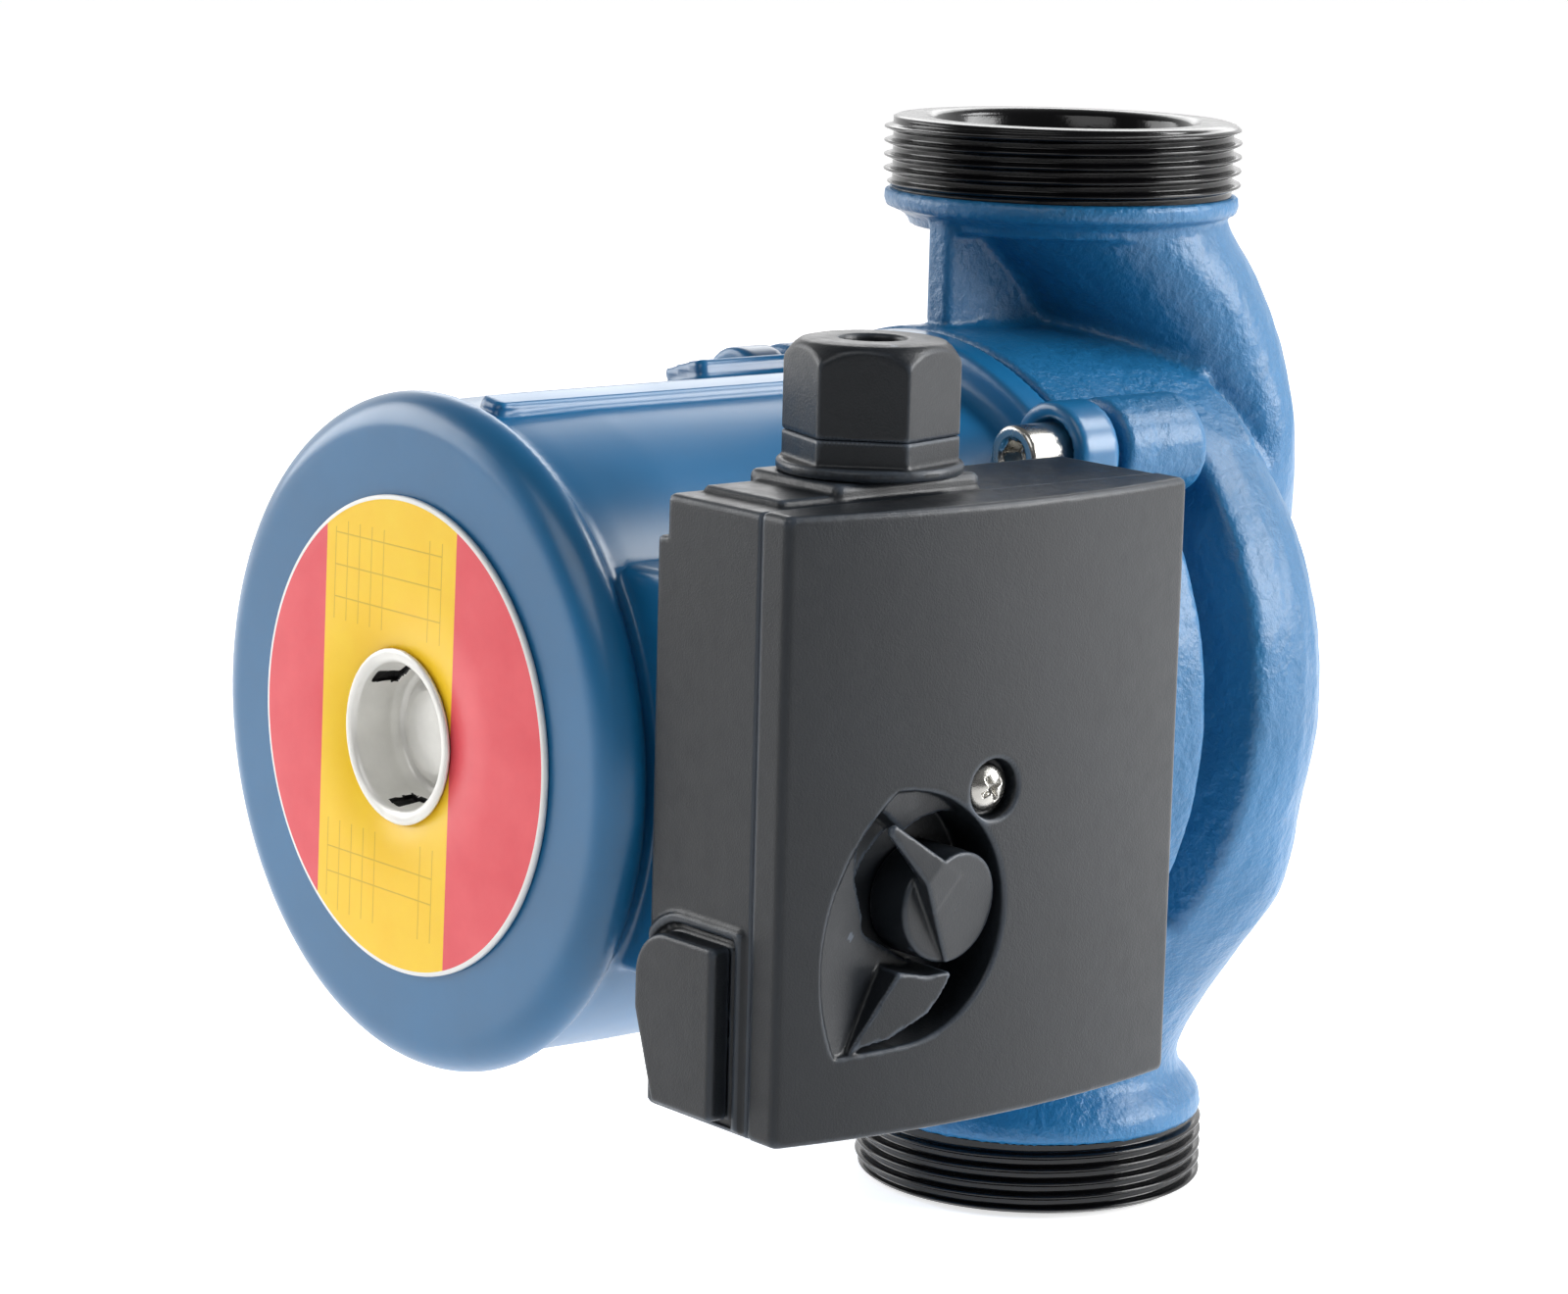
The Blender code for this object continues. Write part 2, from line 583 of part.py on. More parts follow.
turned("gland_seal", [(4.3, 143.8), (6.8, 144.0), (6.8, 149.0), (5.6, 150.0), (4.3, 150.0)], 18,
       mat="rubber", location=(*GLAND_XY, 0))
turned("gland_clamp_ring", [(4.7, 150.4), (8.6, 150.4), (8.6, 151.5), (4.7, 151.5)], 18,
       mat="white_plastic", location=(*GLAND_XY, 0))
gland_nut = prism("gland_nut", 6, GLAND_AF / 2 / math.cos(math.pi / 6), 142.7, 155.4,
                  mat="black_plastic", turn=hex_turn, location=(*GLAND_XY, 0))
boolean(gland_nut, turned(
    "nut_chamfer", [(0, 141), (14, 141), (14, 151.4), (12.6, 153.4), (9.6, 155.0), (0, 155.2)],
    24, location=(*GLAND_XY, 0)), "INTERSECT")
cut(gland_nut, turned(
    "nut_bore", [(0, 141), (9.3, 141), (9.3, 151.8), (4.7, 152.4), (4.7, 160), (0, 160)],
    20, location=(*GLAND_XY, 0)))

# ---------------------------------------------------------------- terminal box cover


def bowed(x0, y0, y1, x1, bow, count=8):
    """Top-view outline of a lid: square at the back, an arc at the front."""
    points = [(x0, y1), (x0, y0)]
    for k in range(count + 1):
        s = -1 + 2 * k / count
        points.append((x1 + bow * (1 - s * s), (y0 + y1) / 2 + s * (y1 - y0) / 2))
    return points


def face_x(y):
    s = (y - (BOX_Y[0] + BOX_Y[1]) / 2) / ((BOX_Y[1] - BOX_Y[0]) / 2)
    return COVER_X[1] + COVER_BOW * (1 - s * s)


terminal_box_cover = outline(
    "terminal_box_cover", bowed(COVER_X[0], BOX_Y[0], BOX_Y[1], COVER_X[1], COVER_BOW),
    BOX_Z[0], BOX_Z[1], mat="black_plastic",
)
rounding = terminal_box_cover.modifiers.new("round", "BEVEL")
rounding.width = 1.1 * MM
rounding.segments = 2
rounding.limit_method = "ANGLE"
rounding.angle_limit = math.radians(50)
cut(terminal_box_cover, outline(
    "cover_inside",
    bowed(COVER_X[0] - 4, BOX_Y[0] + WALL, BOX_Y[1] - WALL, COVER_X[1] - WALL, COVER_BOW),
    BOX_Z[0] + WALL, BOX_Z[1] - WALL))
RECESS_DEEP = 9.5
cup_back = face_x(KNOB_YZ[0]) - RECESS_DEEP - 2.0
recess_cup = cylinder("recess_cup", RECESS_R + 1.8, cup_back, COVER_X[1] + 1.0, 24, **along_x(*RECESS_YZ))
cut(recess_cup, block("cup_trim", (60, BOX_Y[0] - 10, 30), (83.0, BOX_Y[0] + WALL + 0.8, 120)))
screw_post = cylinder("screw_post", 5.6, COVER_X[0] + 0.4, COVER_X[1] + 2.5, 14, **along_x(*COVER_SCREW_YZ))
join(terminal_box_cover, recess_cup, screw_post)
# a dished recess that falls away from its left edge to the knob, with a stop left standing under the knob
recess = cylinder("recess", RECESS_R, cup_back + 1.0, 96, 24, **along_x(*RECESS_YZ))
boolean(recess, turned(
    "recess_dish", [(0, 80.6), (9.0, 80.6), (28.0, 86.2), (44.0, 90.9), (44.0, 97), (0, 97)],
    24, **along_x(-92.0, 70.0)), "INTERSECT")
cut(recess, outline(
    "recess_stop",
    [(-106.3, 68.2), (-115.2, 56.2), (-112.0, 58.0), (-107.8, 58.6), (-101.0, 61.6), (-98.2, 65.0), (-97.0, 67.2),
     (-101.2, 67.1)],
    60, 98, plane="YZ"))
knob_pocket = cylinder("knob_pocket", 10.0, face_x(KNOB_YZ[0]) - RECESS_DEEP, 96, 24, **along_x(*KNOB_YZ))
cut(
    terminal_box_cover, recess, knob_pocket,
    cylinder("knob_shaft_hole", 3.5, 60, 96, 14, **along_x(*KNOB_YZ)),
    cylinder("cover_screw_bore", 4.4, face_x(COVER_SCREW_YZ[0]) - 3.0, 96, 16, **along_x(*COVER_SCREW_YZ)),
    cylinder("cover_screw_hole", 2.3, 60, 96, 10, **along_x(*COVER_SCREW_YZ)),
)

gasket_outer = outline(
    "cover_gasket",
    [(BOX_Y[0] + 0.7, BOX_Z[0] + 0.7), (BOX_Y[1] - 0.7, BOX_Z[0] + 0.7),
     (BOX_Y[1] - 0.7, BOX_Z[1] - 0.7), (BOX_Y[0] + 0.7, BOX_Z[1] - 0.7)],
    BOX_X[1] + 0.25, COVER_X[0] - 0.25, mat="rubber", plane="YZ",
)
cut(gasket_outer, block("gasket_inside", (60, BOX_Y[0] + WALL, BOX_Z[0] + WALL), (90, BOX_Y[1] - WALL, BOX_Z[1] - WALL)))

screw_seat = face_x(COVER_SCREW_YZ[0]) - 3.0 + GAP
cover_screw = turned(
    "cover_screw",
    [(0, 66.0), (1.6, 66.0), (2.0, 67.0), (2.0, screw_seat), (3.5, screw_seat), (3.5, screw_seat + 1.0),
     (2.6, screw_seat + 2.1), (1.2, screw_seat + 2.5), (0, screw_seat + 2.6)],
    14, mat="steel", **along_x(*COVER_SCREW_YZ),
)
cut(
    cover_screw,
    block("cross_a", (screw_seat + 1.2, COVER_SCREW_YZ[0] - 2.0, COVER_SCREW_YZ[1] - 0.4),
          (screw_seat + 6, COVER_SCREW_YZ[0] + 2.0, COVER_SCREW_YZ[1] + 0.4)),
    block("cross_b", (screw_seat + 1.2, COVER_SCREW_YZ[0] - 0.4, COVER_SCREW_YZ[1] - 2.0),
          (screw_seat + 6, COVER_SCREW_YZ[0] + 0.4, COVER_SCREW_YZ[1] + 2.0)),
)
# nut boss that the cover screw bites into, standing on the floor of the base
turned(
    "cover_screw_boss", disc_ring(2.3, 4.3, BOX_X[0] + 2.9, 76.6), 16, mat="brass", **along_x(*COVER_SCREW_YZ)
)

# ---------------------------------------------------------------- speed knob and switch
knob_floor = face_x(KNOB_YZ[0]) - RECESS_DEEP + 0.4
knob_top = face_x(KNOB_YZ[0]) - 0.7
speed_knob = turned(
    "speed_knob",
    [(0, 62.5), (2.6, 62.5), (3.0, 63.0), (3.0, knob_floor), (8.3, knob_floor), (8.3, knob_top - 1.0),
     (7.3, knob_top), (0, knob_top)],
    24, mat="knob_black", **along_x(*KNOB_YZ),
)
# the pointer stands on the disc and reaches out over the face of the cover, clear of it all the way round
LEVER_ANGLE = math.radians(136.5)
LEVER_REACH = 18.6
LEVER_X = (88.3, 90.1)
ca, sa = math.cos(LEVER_ANGLE), math.sin(LEVER_ANGLE)


def pointer(name, outline_uv, x0, x1):
    return outline(
        name, [(KNOB_YZ[0] + u * ca - v * sa, KNOB_YZ[1] + u * sa + v * ca) for u, v in outline_uv], x0, x1, plane="YZ")


join(
    speed_knob,
    pointer("pointer_foot", [(-4.2, -5.2), (6.4, -3.2), (6.4, 3.2), (-4.2, 5.2)], knob_top - 0.8, LEVER_X[0] + 0.7),
    pointer("pointer_arm", [(-3.8, -4.9), (LEVER_REACH - 0.6, -0.9), (LEVER_REACH, -0.4), (LEVER_REACH, 0.4),
                            (LEVER_REACH - 0.6, 0.9), (-3.8, 4.9)], *LEVER_X),
)
speed_switch = block(
    "speed_switch", (BOX_X[0] + 3.0, KNOB_YZ[0] - 11.5, KNOB_YZ[1] - 12), (71.5, KNOB_YZ[0] + 10.5, KNOB_YZ[1] + 11),
    0.8, 1, mat="white_plastic",
)
cut(speed_switch, cylinder("switch_bore", 3.4, 61.8, 80, 14, **along_x(*KNOB_YZ)))

# ---------------------------------------------------------------- electrics in the box
CAP_XY = (67.6, -62.4)
turned(
    "capacitor",
    [(0, 50.0), (7.6, 50.0), (8.5, 51.0), (8.5, 97.0), (7.6, 98.0), (0, 98.0)],
    18, mat="white_plastic", location=(*CAP_XY, 0),
)
turned("capacitor_clip", disc_ring(8.8, 9.6, 68.0, 78.0), 18, mat="steel", location=(*CAP_XY, 0))
terminal_block = block("terminal_block", (BOX_X[0] + 3.0, -80.0, 106.0), (71.0, -56.0, 122.0), 0.8, 1, mat="white_plastic")
TERMINALS = [-74.0, -62.0]
for number, y in enumerate(TERMINALS, 1):
    cut(terminal_block, cylinder(f"terminal_well_{number}", 2.6, 64.0, 80, 12, **along_x(y, 114.0)))
    cut(terminal_block, cylinder(f"lead_well_{number}", 1.6, 100, 110.2, 10, location=(63.2, y, 0)))
    turned(
        f"terminal_screw_{number}",
        [(0, 64.4), (2.2, 64.4), (2.2, 70.0), (1.8, 70.4), (0, 70.4)],
        12, mat="brass", **along_x(y, 114.0),
    )
turned(
    "earth_screw",
    [(0, BOX_X[0] + 2.9), (3.4, BOX_X[0] + 2.9), (3.4, BOX_X[0] + 4.6), (2.6, BOX_X[0] + 5.4), (0, BOX_X[0] + 5.4)],
    16, mat="brass", **along_x(-96.0, 118.0),
)

# ---------------------------------------------------------------- motor leads


def lead(name, points, radius, mat):
    """A short insulated lead along a smooth run through the points."""
    run = []
    count = len(points)
    for i in range(count - 1):
        p0, p1 = Vector(points[max(i - 1, 0)]), Vector(points[i])
        p2, p3 = Vector(points[i + 1]), Vector(points[min(i + 2, count - 1)])
        for k in range(2):
            t = k / 2
            run.append(
                0.5 * (2 * p1 + (p2 - p0) * t + (2 * p0 - 5 * p1 + 4 * p2 - p3) * t * t
                       + (3 * p1 - p0 - 3 * p2 + p3) * t ** 3)
            )
    run.append(Vector(points[-1]))
    curve = bpy.data.curves.new(name, "CURVE")
    curve.dimensions = "3D"
    curve.bevel_depth = radius * MM
    curve.bevel_resolution = 1
    curve.use_fill_caps = True
    spline = curve.splines.new("POLY")
    spline.points.add(len(run) - 1)
    for point, at in zip(spline.points, run):
        point.co = (*(at * MM), 1)
    curve.materials.append(finish(mat))
    obj = bpy.data.objects.new(name, curve)
    PARTS.objects.link(obj)
    return obj


lead("motor_lead_1",
     [(41.0, -114.2, 105.9), (50.0, -114.2, 105.9), (58.0, -114.0, 105.9), (62.5, -109.0, 105.4),
      (63.2, -96.0, 103.4), (63.2, -84.0, 102.8), (63.2, -76.4, 103.0), (63.2, -74.0, 105.8), (63.2, -74.0, 109.4)],
     1.1, "lead_brown")
lead("motor_lead_2",
     [(41.0, -115.8, 102.1), (50.0, -115.8, 102.1), (58.0, -115.4, 102.1), (62.4, -110.0, 101.2),
      (63.2, -97.0, 99.7), (63.2, -83.0, 99.4), (63.2, -71.5, 99.6), (63.2, -64.8, 101.6), (63.2, -62.0, 105.4),
      (63.2, -62.0, 109.4)],
     1.1, "lead_blue")

# round pieces are shaded smooth, with their real edges kept sharp
for obj in PARTS.objects:
    if obj.type == "MESH" and obj.data.polygons:
        obj.data.shade_smooth()
        obj.data.set_sharp_from_angle(angle=math.radians(35))
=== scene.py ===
import itertools
import json
import math

import bmesh
import bpy
import numpy as np
from mathutils import Matrix, Vector


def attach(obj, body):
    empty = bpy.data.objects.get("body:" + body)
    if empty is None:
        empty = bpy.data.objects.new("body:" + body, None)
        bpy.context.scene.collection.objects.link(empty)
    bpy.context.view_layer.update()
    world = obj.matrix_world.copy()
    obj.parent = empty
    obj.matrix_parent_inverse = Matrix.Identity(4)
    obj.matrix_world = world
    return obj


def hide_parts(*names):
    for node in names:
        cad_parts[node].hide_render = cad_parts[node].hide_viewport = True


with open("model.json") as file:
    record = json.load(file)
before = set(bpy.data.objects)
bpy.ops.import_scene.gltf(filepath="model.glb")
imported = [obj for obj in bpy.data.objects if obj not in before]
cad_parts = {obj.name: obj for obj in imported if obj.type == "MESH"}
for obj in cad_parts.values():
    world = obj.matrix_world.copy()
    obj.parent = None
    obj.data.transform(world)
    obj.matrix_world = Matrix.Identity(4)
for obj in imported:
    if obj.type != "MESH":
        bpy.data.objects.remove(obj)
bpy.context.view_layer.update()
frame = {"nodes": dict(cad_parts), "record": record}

MM = 0.001
NODES = frame["nodes"]
BODY_OF = {n: b for b, members in frame["record"]["behaviour"]["bodies"].items() for n in members}

# sizes shared by several pieces, in millimetres; the motor axis runs along -Y, and a = -y along it
AXIS_Z = 90.0
SCREW_X, SCREW_Z = 39.5, 41.5
CORNERS = [(1, 1), (-1, 1), (1, -1), (-1, -1)]
FACE_MID, FACE_HALF = -88.35, 37.95
KNOB_Y, KNOB_Z = -97.4, 76.8
RECESS_Y, RECESS_Z, RECESS_R = -105.5, 76.0, 18.6
COVER_SCREW_Y, COVER_SCREW_Z = -90.5, 93.2
GLAND_X, GLAND_Y, GLAND_AF = 68.0, -98.3, 22.3
BLANK_X, BLANK_Z = 68.5, 60.0
LEVER = math.radians(136.5)


# ------------------------------------------------------------------ distance fields
# A shape is a function of an (N, 3) array of points that gives the distance to its surface,
# negative inside. Soft unions and cuts give the fillets that cast and moulded parts have.

def soft_min(a, b, k):
    h = np.clip(0.5 + 0.5 * (b - a) / k, 0, 1)
    return b + (a - b) * h - k * h * (1 - h)


def soft_max(a, b, k):
    return -soft_min(-a, -b, k)


def rect(u, v, u0, u1, v0, v1, e=0.0):
    """A rectangle with corners rounded to radius e, in any two coordinates."""
    qu = np.abs(u - (u0 + u1) / 2) - (u1 - u0) / 2 + e
    qv = np.abs(v - (v0 + v1) / 2) - (v1 - v0) / 2 + e
    return np.hypot(np.maximum(qu, 0), np.maximum(qv, 0)) + np.minimum(np.maximum(qu, qv), 0) - e


def bar(r, a, radius, a0, a1, e=0.0):
    """A round bar, from its radial and axial coordinates."""
    return rect(r, a, -radius, radius, a0, a1, e)


def block(P, lo, hi, e=0.0):
    lo, hi = np.array(lo, float), np.array(hi, float)
    q = np.abs(P - (lo + hi) / 2) - (hi - lo) / 2 + e
    return np.sqrt((np.maximum(q, 0) ** 2).sum(1)) + np.minimum(q.max(1), 0) - e


def polygon(u, v, corners):
    """Distance to a closed polygon in two coordinates."""
    best = np.full(u.shape, 1e9)
    sign = np.ones(u.shape)
    for (u1, v1), (u0, v0) in zip(corners, corners[-1:] + corners[:-1]):
        eu, ev = u0 - u1, v0 - v1
        wu, wv = u - u1, v - v1
        t = np.clip((wu * eu + wv * ev) / (eu * eu + ev * ev), 0, 1)
        best = np.minimum(best, (wu - eu * t) ** 2 + (wv - ev * t) ** 2)
        c1, c2, c3 = v >= v1, v < v0, eu * wv > ev * wu
        sign = np.where((c1 & c2 & c3) | (~c1 & ~c2 & ~c3), -sign, sign)
    return sign * np.sqrt(best)


def hexagon(u, v, across_flats, turn, k=0.5):
    """A hexagon with a flat facing the direction turn, its corners slightly rounded."""
    best = None
    for i in range(3):
        t = turn + i * math.pi / 3
        side = np.abs(u * math.cos(t) + v * math.sin(t)) - across_flats / 2
        best = side if best is None else soft_max(best, side, k)
    return best


def along(t, table):
    """Smooth values between the rows of a table whose first column is t."""
    table = np.array(table, float)
    x, v = table[:, 0], table[:, 1:]
    m = np.zeros_like(v)
    m[1:-1] = (v[2:] - v[:-2]) / (x[2:] - x[:-2])[:, None]
    m[0] = (v[1] - v[0]) / (x[1] - x[0])
    m[-1] = (v[-1] - v[-2]) / (x[-1] - x[-2])
    t = np.clip(t, x[0], x[-1])
    i = np.clip(np.searchsorted(x, t) - 1, 0, len(x) - 2)
    w = x[i + 1] - x[i]
    s = ((t - x[i]) / w)[:, None]
    w = w[:, None]
    got = ((2 * s ** 3 - 3 * s ** 2 + 1) * v[i] + (s ** 3 - 2 * s ** 2 + s) * w * m[i]
           + (-2 * s ** 3 + 3 * s ** 2) * v[i + 1] + (s ** 3 - s ** 2) * w * m[i + 1])
    return got.T


def oval_loft(P, table, z0, z1, e=2.0):
    """A duct of oval sections: rows of height, centre y, half width in x and half width in y."""
    x, y, z = P.T
    yc, ax, ay = along(z, table)
    px, py = x / ax, (y - yc) / ay
    k0 = np.hypot(px, py) + 1e-6
    k1 = np.hypot(px / ax, py / ay) + 1e-9
    return soft_max(k0 * (k0 - 1) / k1, np.abs(z - (z0 + z1) / 2) - (z1 - z0) / 2, e)


def lumps(P, size, seed, waves=9):
    """Soft random relief, about -1 to 1, for the skin of a sand casting."""
    rng = np.random.default_rng(seed)
    total = np.zeros(len(P))
    for _ in range(waves):
        way = rng.normal(size=3)
        way *= 2 * math.pi / (np.linalg.norm(way) * size * rng.uniform(0.75, 1.4))
        total += np.sin(P @ way + rng.uniform(0, 2 * math.pi))
    return total / math.sqrt(waves)


CUBE = list(itertools.product((0, 1), repeat=3))
CUBE_EDGES = [(p, q) for p in range(8) for q in range(p + 1, 8)
              if sum(abs(i - j) for i, j in zip(CUBE[p], CUBE[q])) == 1]


def sample(field, points, chunk=300000):
    return np.concatenate([field(points[i:i + chunk]) for i in range(0, len(points), chunk)])


def settle(field, verts, h, rounds):
    """Pulls points onto the zero surface of a field."""
    eps = 0.01
    for _ in range(rounds):
        value = sample(field, verts)
        slope = np.stack([(sample(field, verts + eps * np.eye(3)[i]) - value) / eps for i in range(3)], 1)
        move = slope * (value / np.maximum((slope ** 2).sum(1), 0.05))[:, None]
        size = np.sqrt((move ** 2).sum(1))
        verts = verts - move * np.minimum(1, 0.6 * h / np.maximum(size, 1e-9))[:, None]
    return verts


def skin(name, field, lo, hi, h, ease=2):
    """Meshes the zero surface of a field with evenly spread quads of about h millimetres."""
    rough = 4
    lo = np.array(lo, float) - 2.37 * h
    hi = np.array(hi, float) + 2.2 * h
    n = np.ceil((hi - lo) / (h * rough)).astype(int) * rough + 1
    axes = [lo[i] + h * np.arange(n[i]) for i in range(3)]
    nodes = np.stack(np.meshgrid(*[a[::rough] for a in axes], indexing="ij"), -1)
    coarse = sample(field, nodes.reshape(-1, 3)).reshape(nodes.shape[:3])
    near = np.abs(coarse) < h * rough * 2.0
    m = np.array(near.shape) - 1
    cell = np.zeros(m, bool)
    for i, j, k in CUBE:
        cell |= near[i:m[0] + i, j:m[1] + j, k:m[2] + k]

    def spread(grid):
        for axis in range(3):
            grid = np.repeat(grid, rough, axis)
        return np.pad(grid, ((0, 1),) * 3, mode="edge")

    value = spread(coarse[:-1, :-1, :-1])
    fine = spread(cell)
    for axis in range(3):
        shifted = np.roll(fine, 1, axis)
        edge = [slice(None)] * 3
        edge[axis] = 0
        shifted[tuple(edge)] = False
        fine = fine | shifted
    at = np.argwhere(fine)
    value[fine] = sample(field, lo + h * at)

    inside = value < 0
    m = n - 1
    count = np.zeros(m, np.int8)
    for i, j, k in CUBE:
        count += inside[i:m[0] + i, j:m[1] + j, k:m[2] + k]
    mixed = (count > 0) & (count < 8)
    cells = np.argwhere(mixed)
    number = np.full(m, -1, np.int64)
    number[mixed] = np.arange(len(cells))
    corner = np.stack([value[cells[:, 0] + i, cells[:, 1] + j, cells[:, 2] + k] for i, j, k in CUBE], 1)
    place, hits = np.zeros((len(cells), 3)), np.zeros(len(cells))
    for p, q in CUBE_EDGES:
        va, vb = corner[:, p], corner[:, q]
        cross = (va < 0) != (vb < 0)
        t = va[cross] / (va[cross] - vb[cross])
        place[cross] += np.array(CUBE[p]) + t[:, None] * (np.array(CUBE[q]) - np.array(CUBE[p]))
        hits[cross] += 1
    verts = lo + h * (cells + place / hits[:, None])

    quads = []
    for axis in range(3):
        b, c = (axis + 1) % 3, (axis + 2) % 3
        first = [slice(1, -1)] * 3
        second = [slice(1, -1)] * 3
        first[axis], second[axis] = slice(0, -1), slice(1, None)
        s0, s1 = inside[tuple(first)], inside[tuple(second)]
        where = np.argwhere(s0 != s1)
        out = s0[s0 != s1]
        where[:, b] += 1
        where[:, c] += 1

        def cell_at(db, dc):
            w = where.copy()
            w[:, b] += db
            w[:, c] += dc
            return number[w[:, 0], w[:, 1], w[:, 2]]

        quad = np.stack([cell_at(-1, -1), cell_at(0, -1), cell_at(0, 0), cell_at(-1, 0)], 1)
        quad[~out] = quad[~out][:, ::-1]
        quads.append(quad)
    quads = np.concatenate(quads)

    verts = settle(field, verts, h, 2)
    ends = np.concatenate([quads[:, [0, 1]], quads[:, [1, 2]], quads[:, [2, 3]], quads[:, [3, 0]]])
    for _ in range(ease):
        total = np.stack([np.bincount(ends[:, 0], verts[ends[:, 1], i], len(verts))
                          + np.bincount(ends[:, 1], verts[ends[:, 0], i], len(verts)) for i in range(3)], 1)
        seen = np.bincount(ends[:, 0], minlength=len(verts)) + np.bincount(ends[:, 1], minlength=len(verts))
        verts = 0.5 * verts + 0.5 * total / seen[:, None]
        verts = settle(field, verts, h, 2)
    return solid(name, verts, quads)


def solid(name, verts, quads):
    """An object from arrays of points, in millimetres, and four-sided faces."""
    mesh = bpy.data.meshes.new(name)
    mesh.vertices.add(len(verts))
    mesh.vertices.foreach_set("co", (np.asarray(verts) * MM).astype(np.float32).ravel())
    mesh.loops.add(len(quads) * 4)
    mesh.loops.foreach_set("vertex_index", np.asarray(quads).astype(np.int32).ravel())
    mesh.polygons.add(len(quads))
    mesh.polygons.foreach_set("loop_start", np.arange(0, len(quads) * 4, 4, dtype=np.int32))
    mesh.update(calc_edges=True)
    mesh.validate()
    mesh.shade_smooth()
    obj = bpy.data.objects.new(name, mesh)
    bpy.context.scene.collection.objects.link(obj)
    return obj


def wrapped(name, rows, steps, to_point):
    """A closed ring surface: rows around it in one direction, steps turns round the axis in the other.
    to_point(row, angles) gives the points of one row."""
    angles = np.linspace(0, 2 * math.pi, steps, endpoint=False)
    verts = np.concatenate([to_point(row, angles) for row in rows])
    n = len(rows)
    i, j = np.meshgrid(np.arange(n), np.arange(steps), indexing="ij")
    a = i * steps + j
    b = ((i + 1) % n) * steps + j
    c = ((i + 1) % n) * steps + (j + 1) % steps
    d = i * steps + (j + 1) % steps
    obj = solid(name, verts, np.stack([a, b, c, d], -1).reshape(-1, 4))
    bm = bmesh.new()
    bm.from_mesh(obj.data)
    bmesh.ops.recalc_face_normals(bm, faces=bm.faces)
    bm.to_mesh(obj.data)
    bm.free()
    return obj


# ------------------------------------------------------------------ materials

def srgb(r, g, b):
    return tuple(((v / 255 + 0.055) / 1.055) ** 2.4 if v > 10 else v / 255 / 12.92 for v in (r, g, b)) + (1.0,)


class Finish:
    """A procedural material on object coordinates, built up step by step."""

    def __init__(self, name):
        self.mat = bpy.data.materials.new(name)
        self.mat.use_nodes = True
        self.tree = self.mat.node_tree
        self.tree.nodes.clear()
        self.out = self.tree.nodes.new("ShaderNodeOutputMaterial")
        self.bsdf = self.tree.nodes.new("ShaderNodeBsdfPrincipled")
        self.link(self.bsdf.outputs[0], self.out.inputs[0])
        self.coord = self.tree.nodes.new("ShaderNodeTexCoord").outputs["Object"]

    def link(self, a, b):
        self.tree.links.new(a, b)

    def node(self, kind, **values):
        node = self.tree.nodes.new(kind)
        for key, value in values.items():
            setattr(node, key, value)
        return node

    def stretched(self, x, y, z):
        scale = self.node("ShaderNodeMapping")
        scale.inputs["Scale"].default_value = (x, y, z)
        self.link(self.coord, scale.inputs["Vector"])
        return scale.outputs[0]

    def noise(self, scale, detail=3.0, rough=0.55, coord=None):
        node = self.node("ShaderNodeTexNoise")
        node.inputs["Scale"].default_value = scale
        node.inputs["Detail"].default_value = detail
        node.inputs["Roughness"].default_value = rough
        self.link(coord or self.coord, node.inputs["Vector"])
        return node.outputs["Fac"]

    def cells(self, scale, coord=None):
        node = self.node("ShaderNodeTexVoronoi")
        node.inputs["Scale"].default_value = scale
        self.link(coord or self.coord, node.inputs["Vector"])
        return node.outputs["Distance"]

    def ranged(self, value, a, b, lo=0.3, hi=0.7):
        node = self.node("ShaderNodeMapRange")
        node.inputs["From Min"].default_value = lo
        node.inputs["From Max"].default_value = hi
        node.inputs["To Min"].default_value = a
        node.inputs["To Max"].default_value = b
        self.link(value, node.inputs["Value"])
        return node.outputs[0]

    def math(self, kind, a, b=None):
        node = self.node("ShaderNodeMath", operation=kind)
        for socket, value in zip(node.inputs, (a, b)):
            if value is None:
                continue
            if isinstance(value, (int, float)):
                socket.default_value = value
            else:
                self.link(value, socket)
        return node.outputs[0]

    def mixed(self, fac, a, b):
        node = self.node("ShaderNodeMix", data_type="RGBA")
        for socket, value in ((node.inputs[0], fac), (node.inputs[6], a), (node.inputs[7], b)):
            if isinstance(value, (tuple, int, float)):
                socket.default_value = value
            else:
                self.link(value, socket)
        return node.outputs[2]

    def axes(self):
        node = self.node("ShaderNodeSeparateXYZ")
        self.link(self.coord, node.inputs[0])
        return node.outputs

    def edges(self, a, b, lo=0.5, hi=0.56):
        geometry = self.node("ShaderNodeNewGeometry")
        return self.ranged(geometry.outputs["Pointiness"], a, b, lo, hi)

    def bump(self, height, distance, strength=1.0):
        node = self.node("ShaderNodeBump")
        node.inputs["Distance"].default_value = distance
        node.inputs["Strength"].default_value = strength
        self.link(height, node.inputs["Height"])
        last = self.bsdf.inputs["Normal"]
        if last.is_linked:
            self.link(last.links[0].from_socket, node.inputs["Normal"])
        self.link(node.outputs[0], last)

    def colour(self, value):
        if isinstance(value, tuple):
            self.bsdf.inputs["Base Color"].default_value = value
        else:
            self.link(value, self.bsdf.inputs["Base Color"])

    def rough(self, value):
        if isinstance(value, (int, float)):
            self.bsdf.inputs["Roughness"].default_value = value
        else:
            self.link(value, self.bsdf.inputs["Roughness"])

    def set(self, **values):
        for key, value in values.items():
            self.bsdf.inputs[key.replace("_", " ")].default_value = value


def darker(c, f):
    return tuple(v * f for v in c[:3]) + (1.0,)


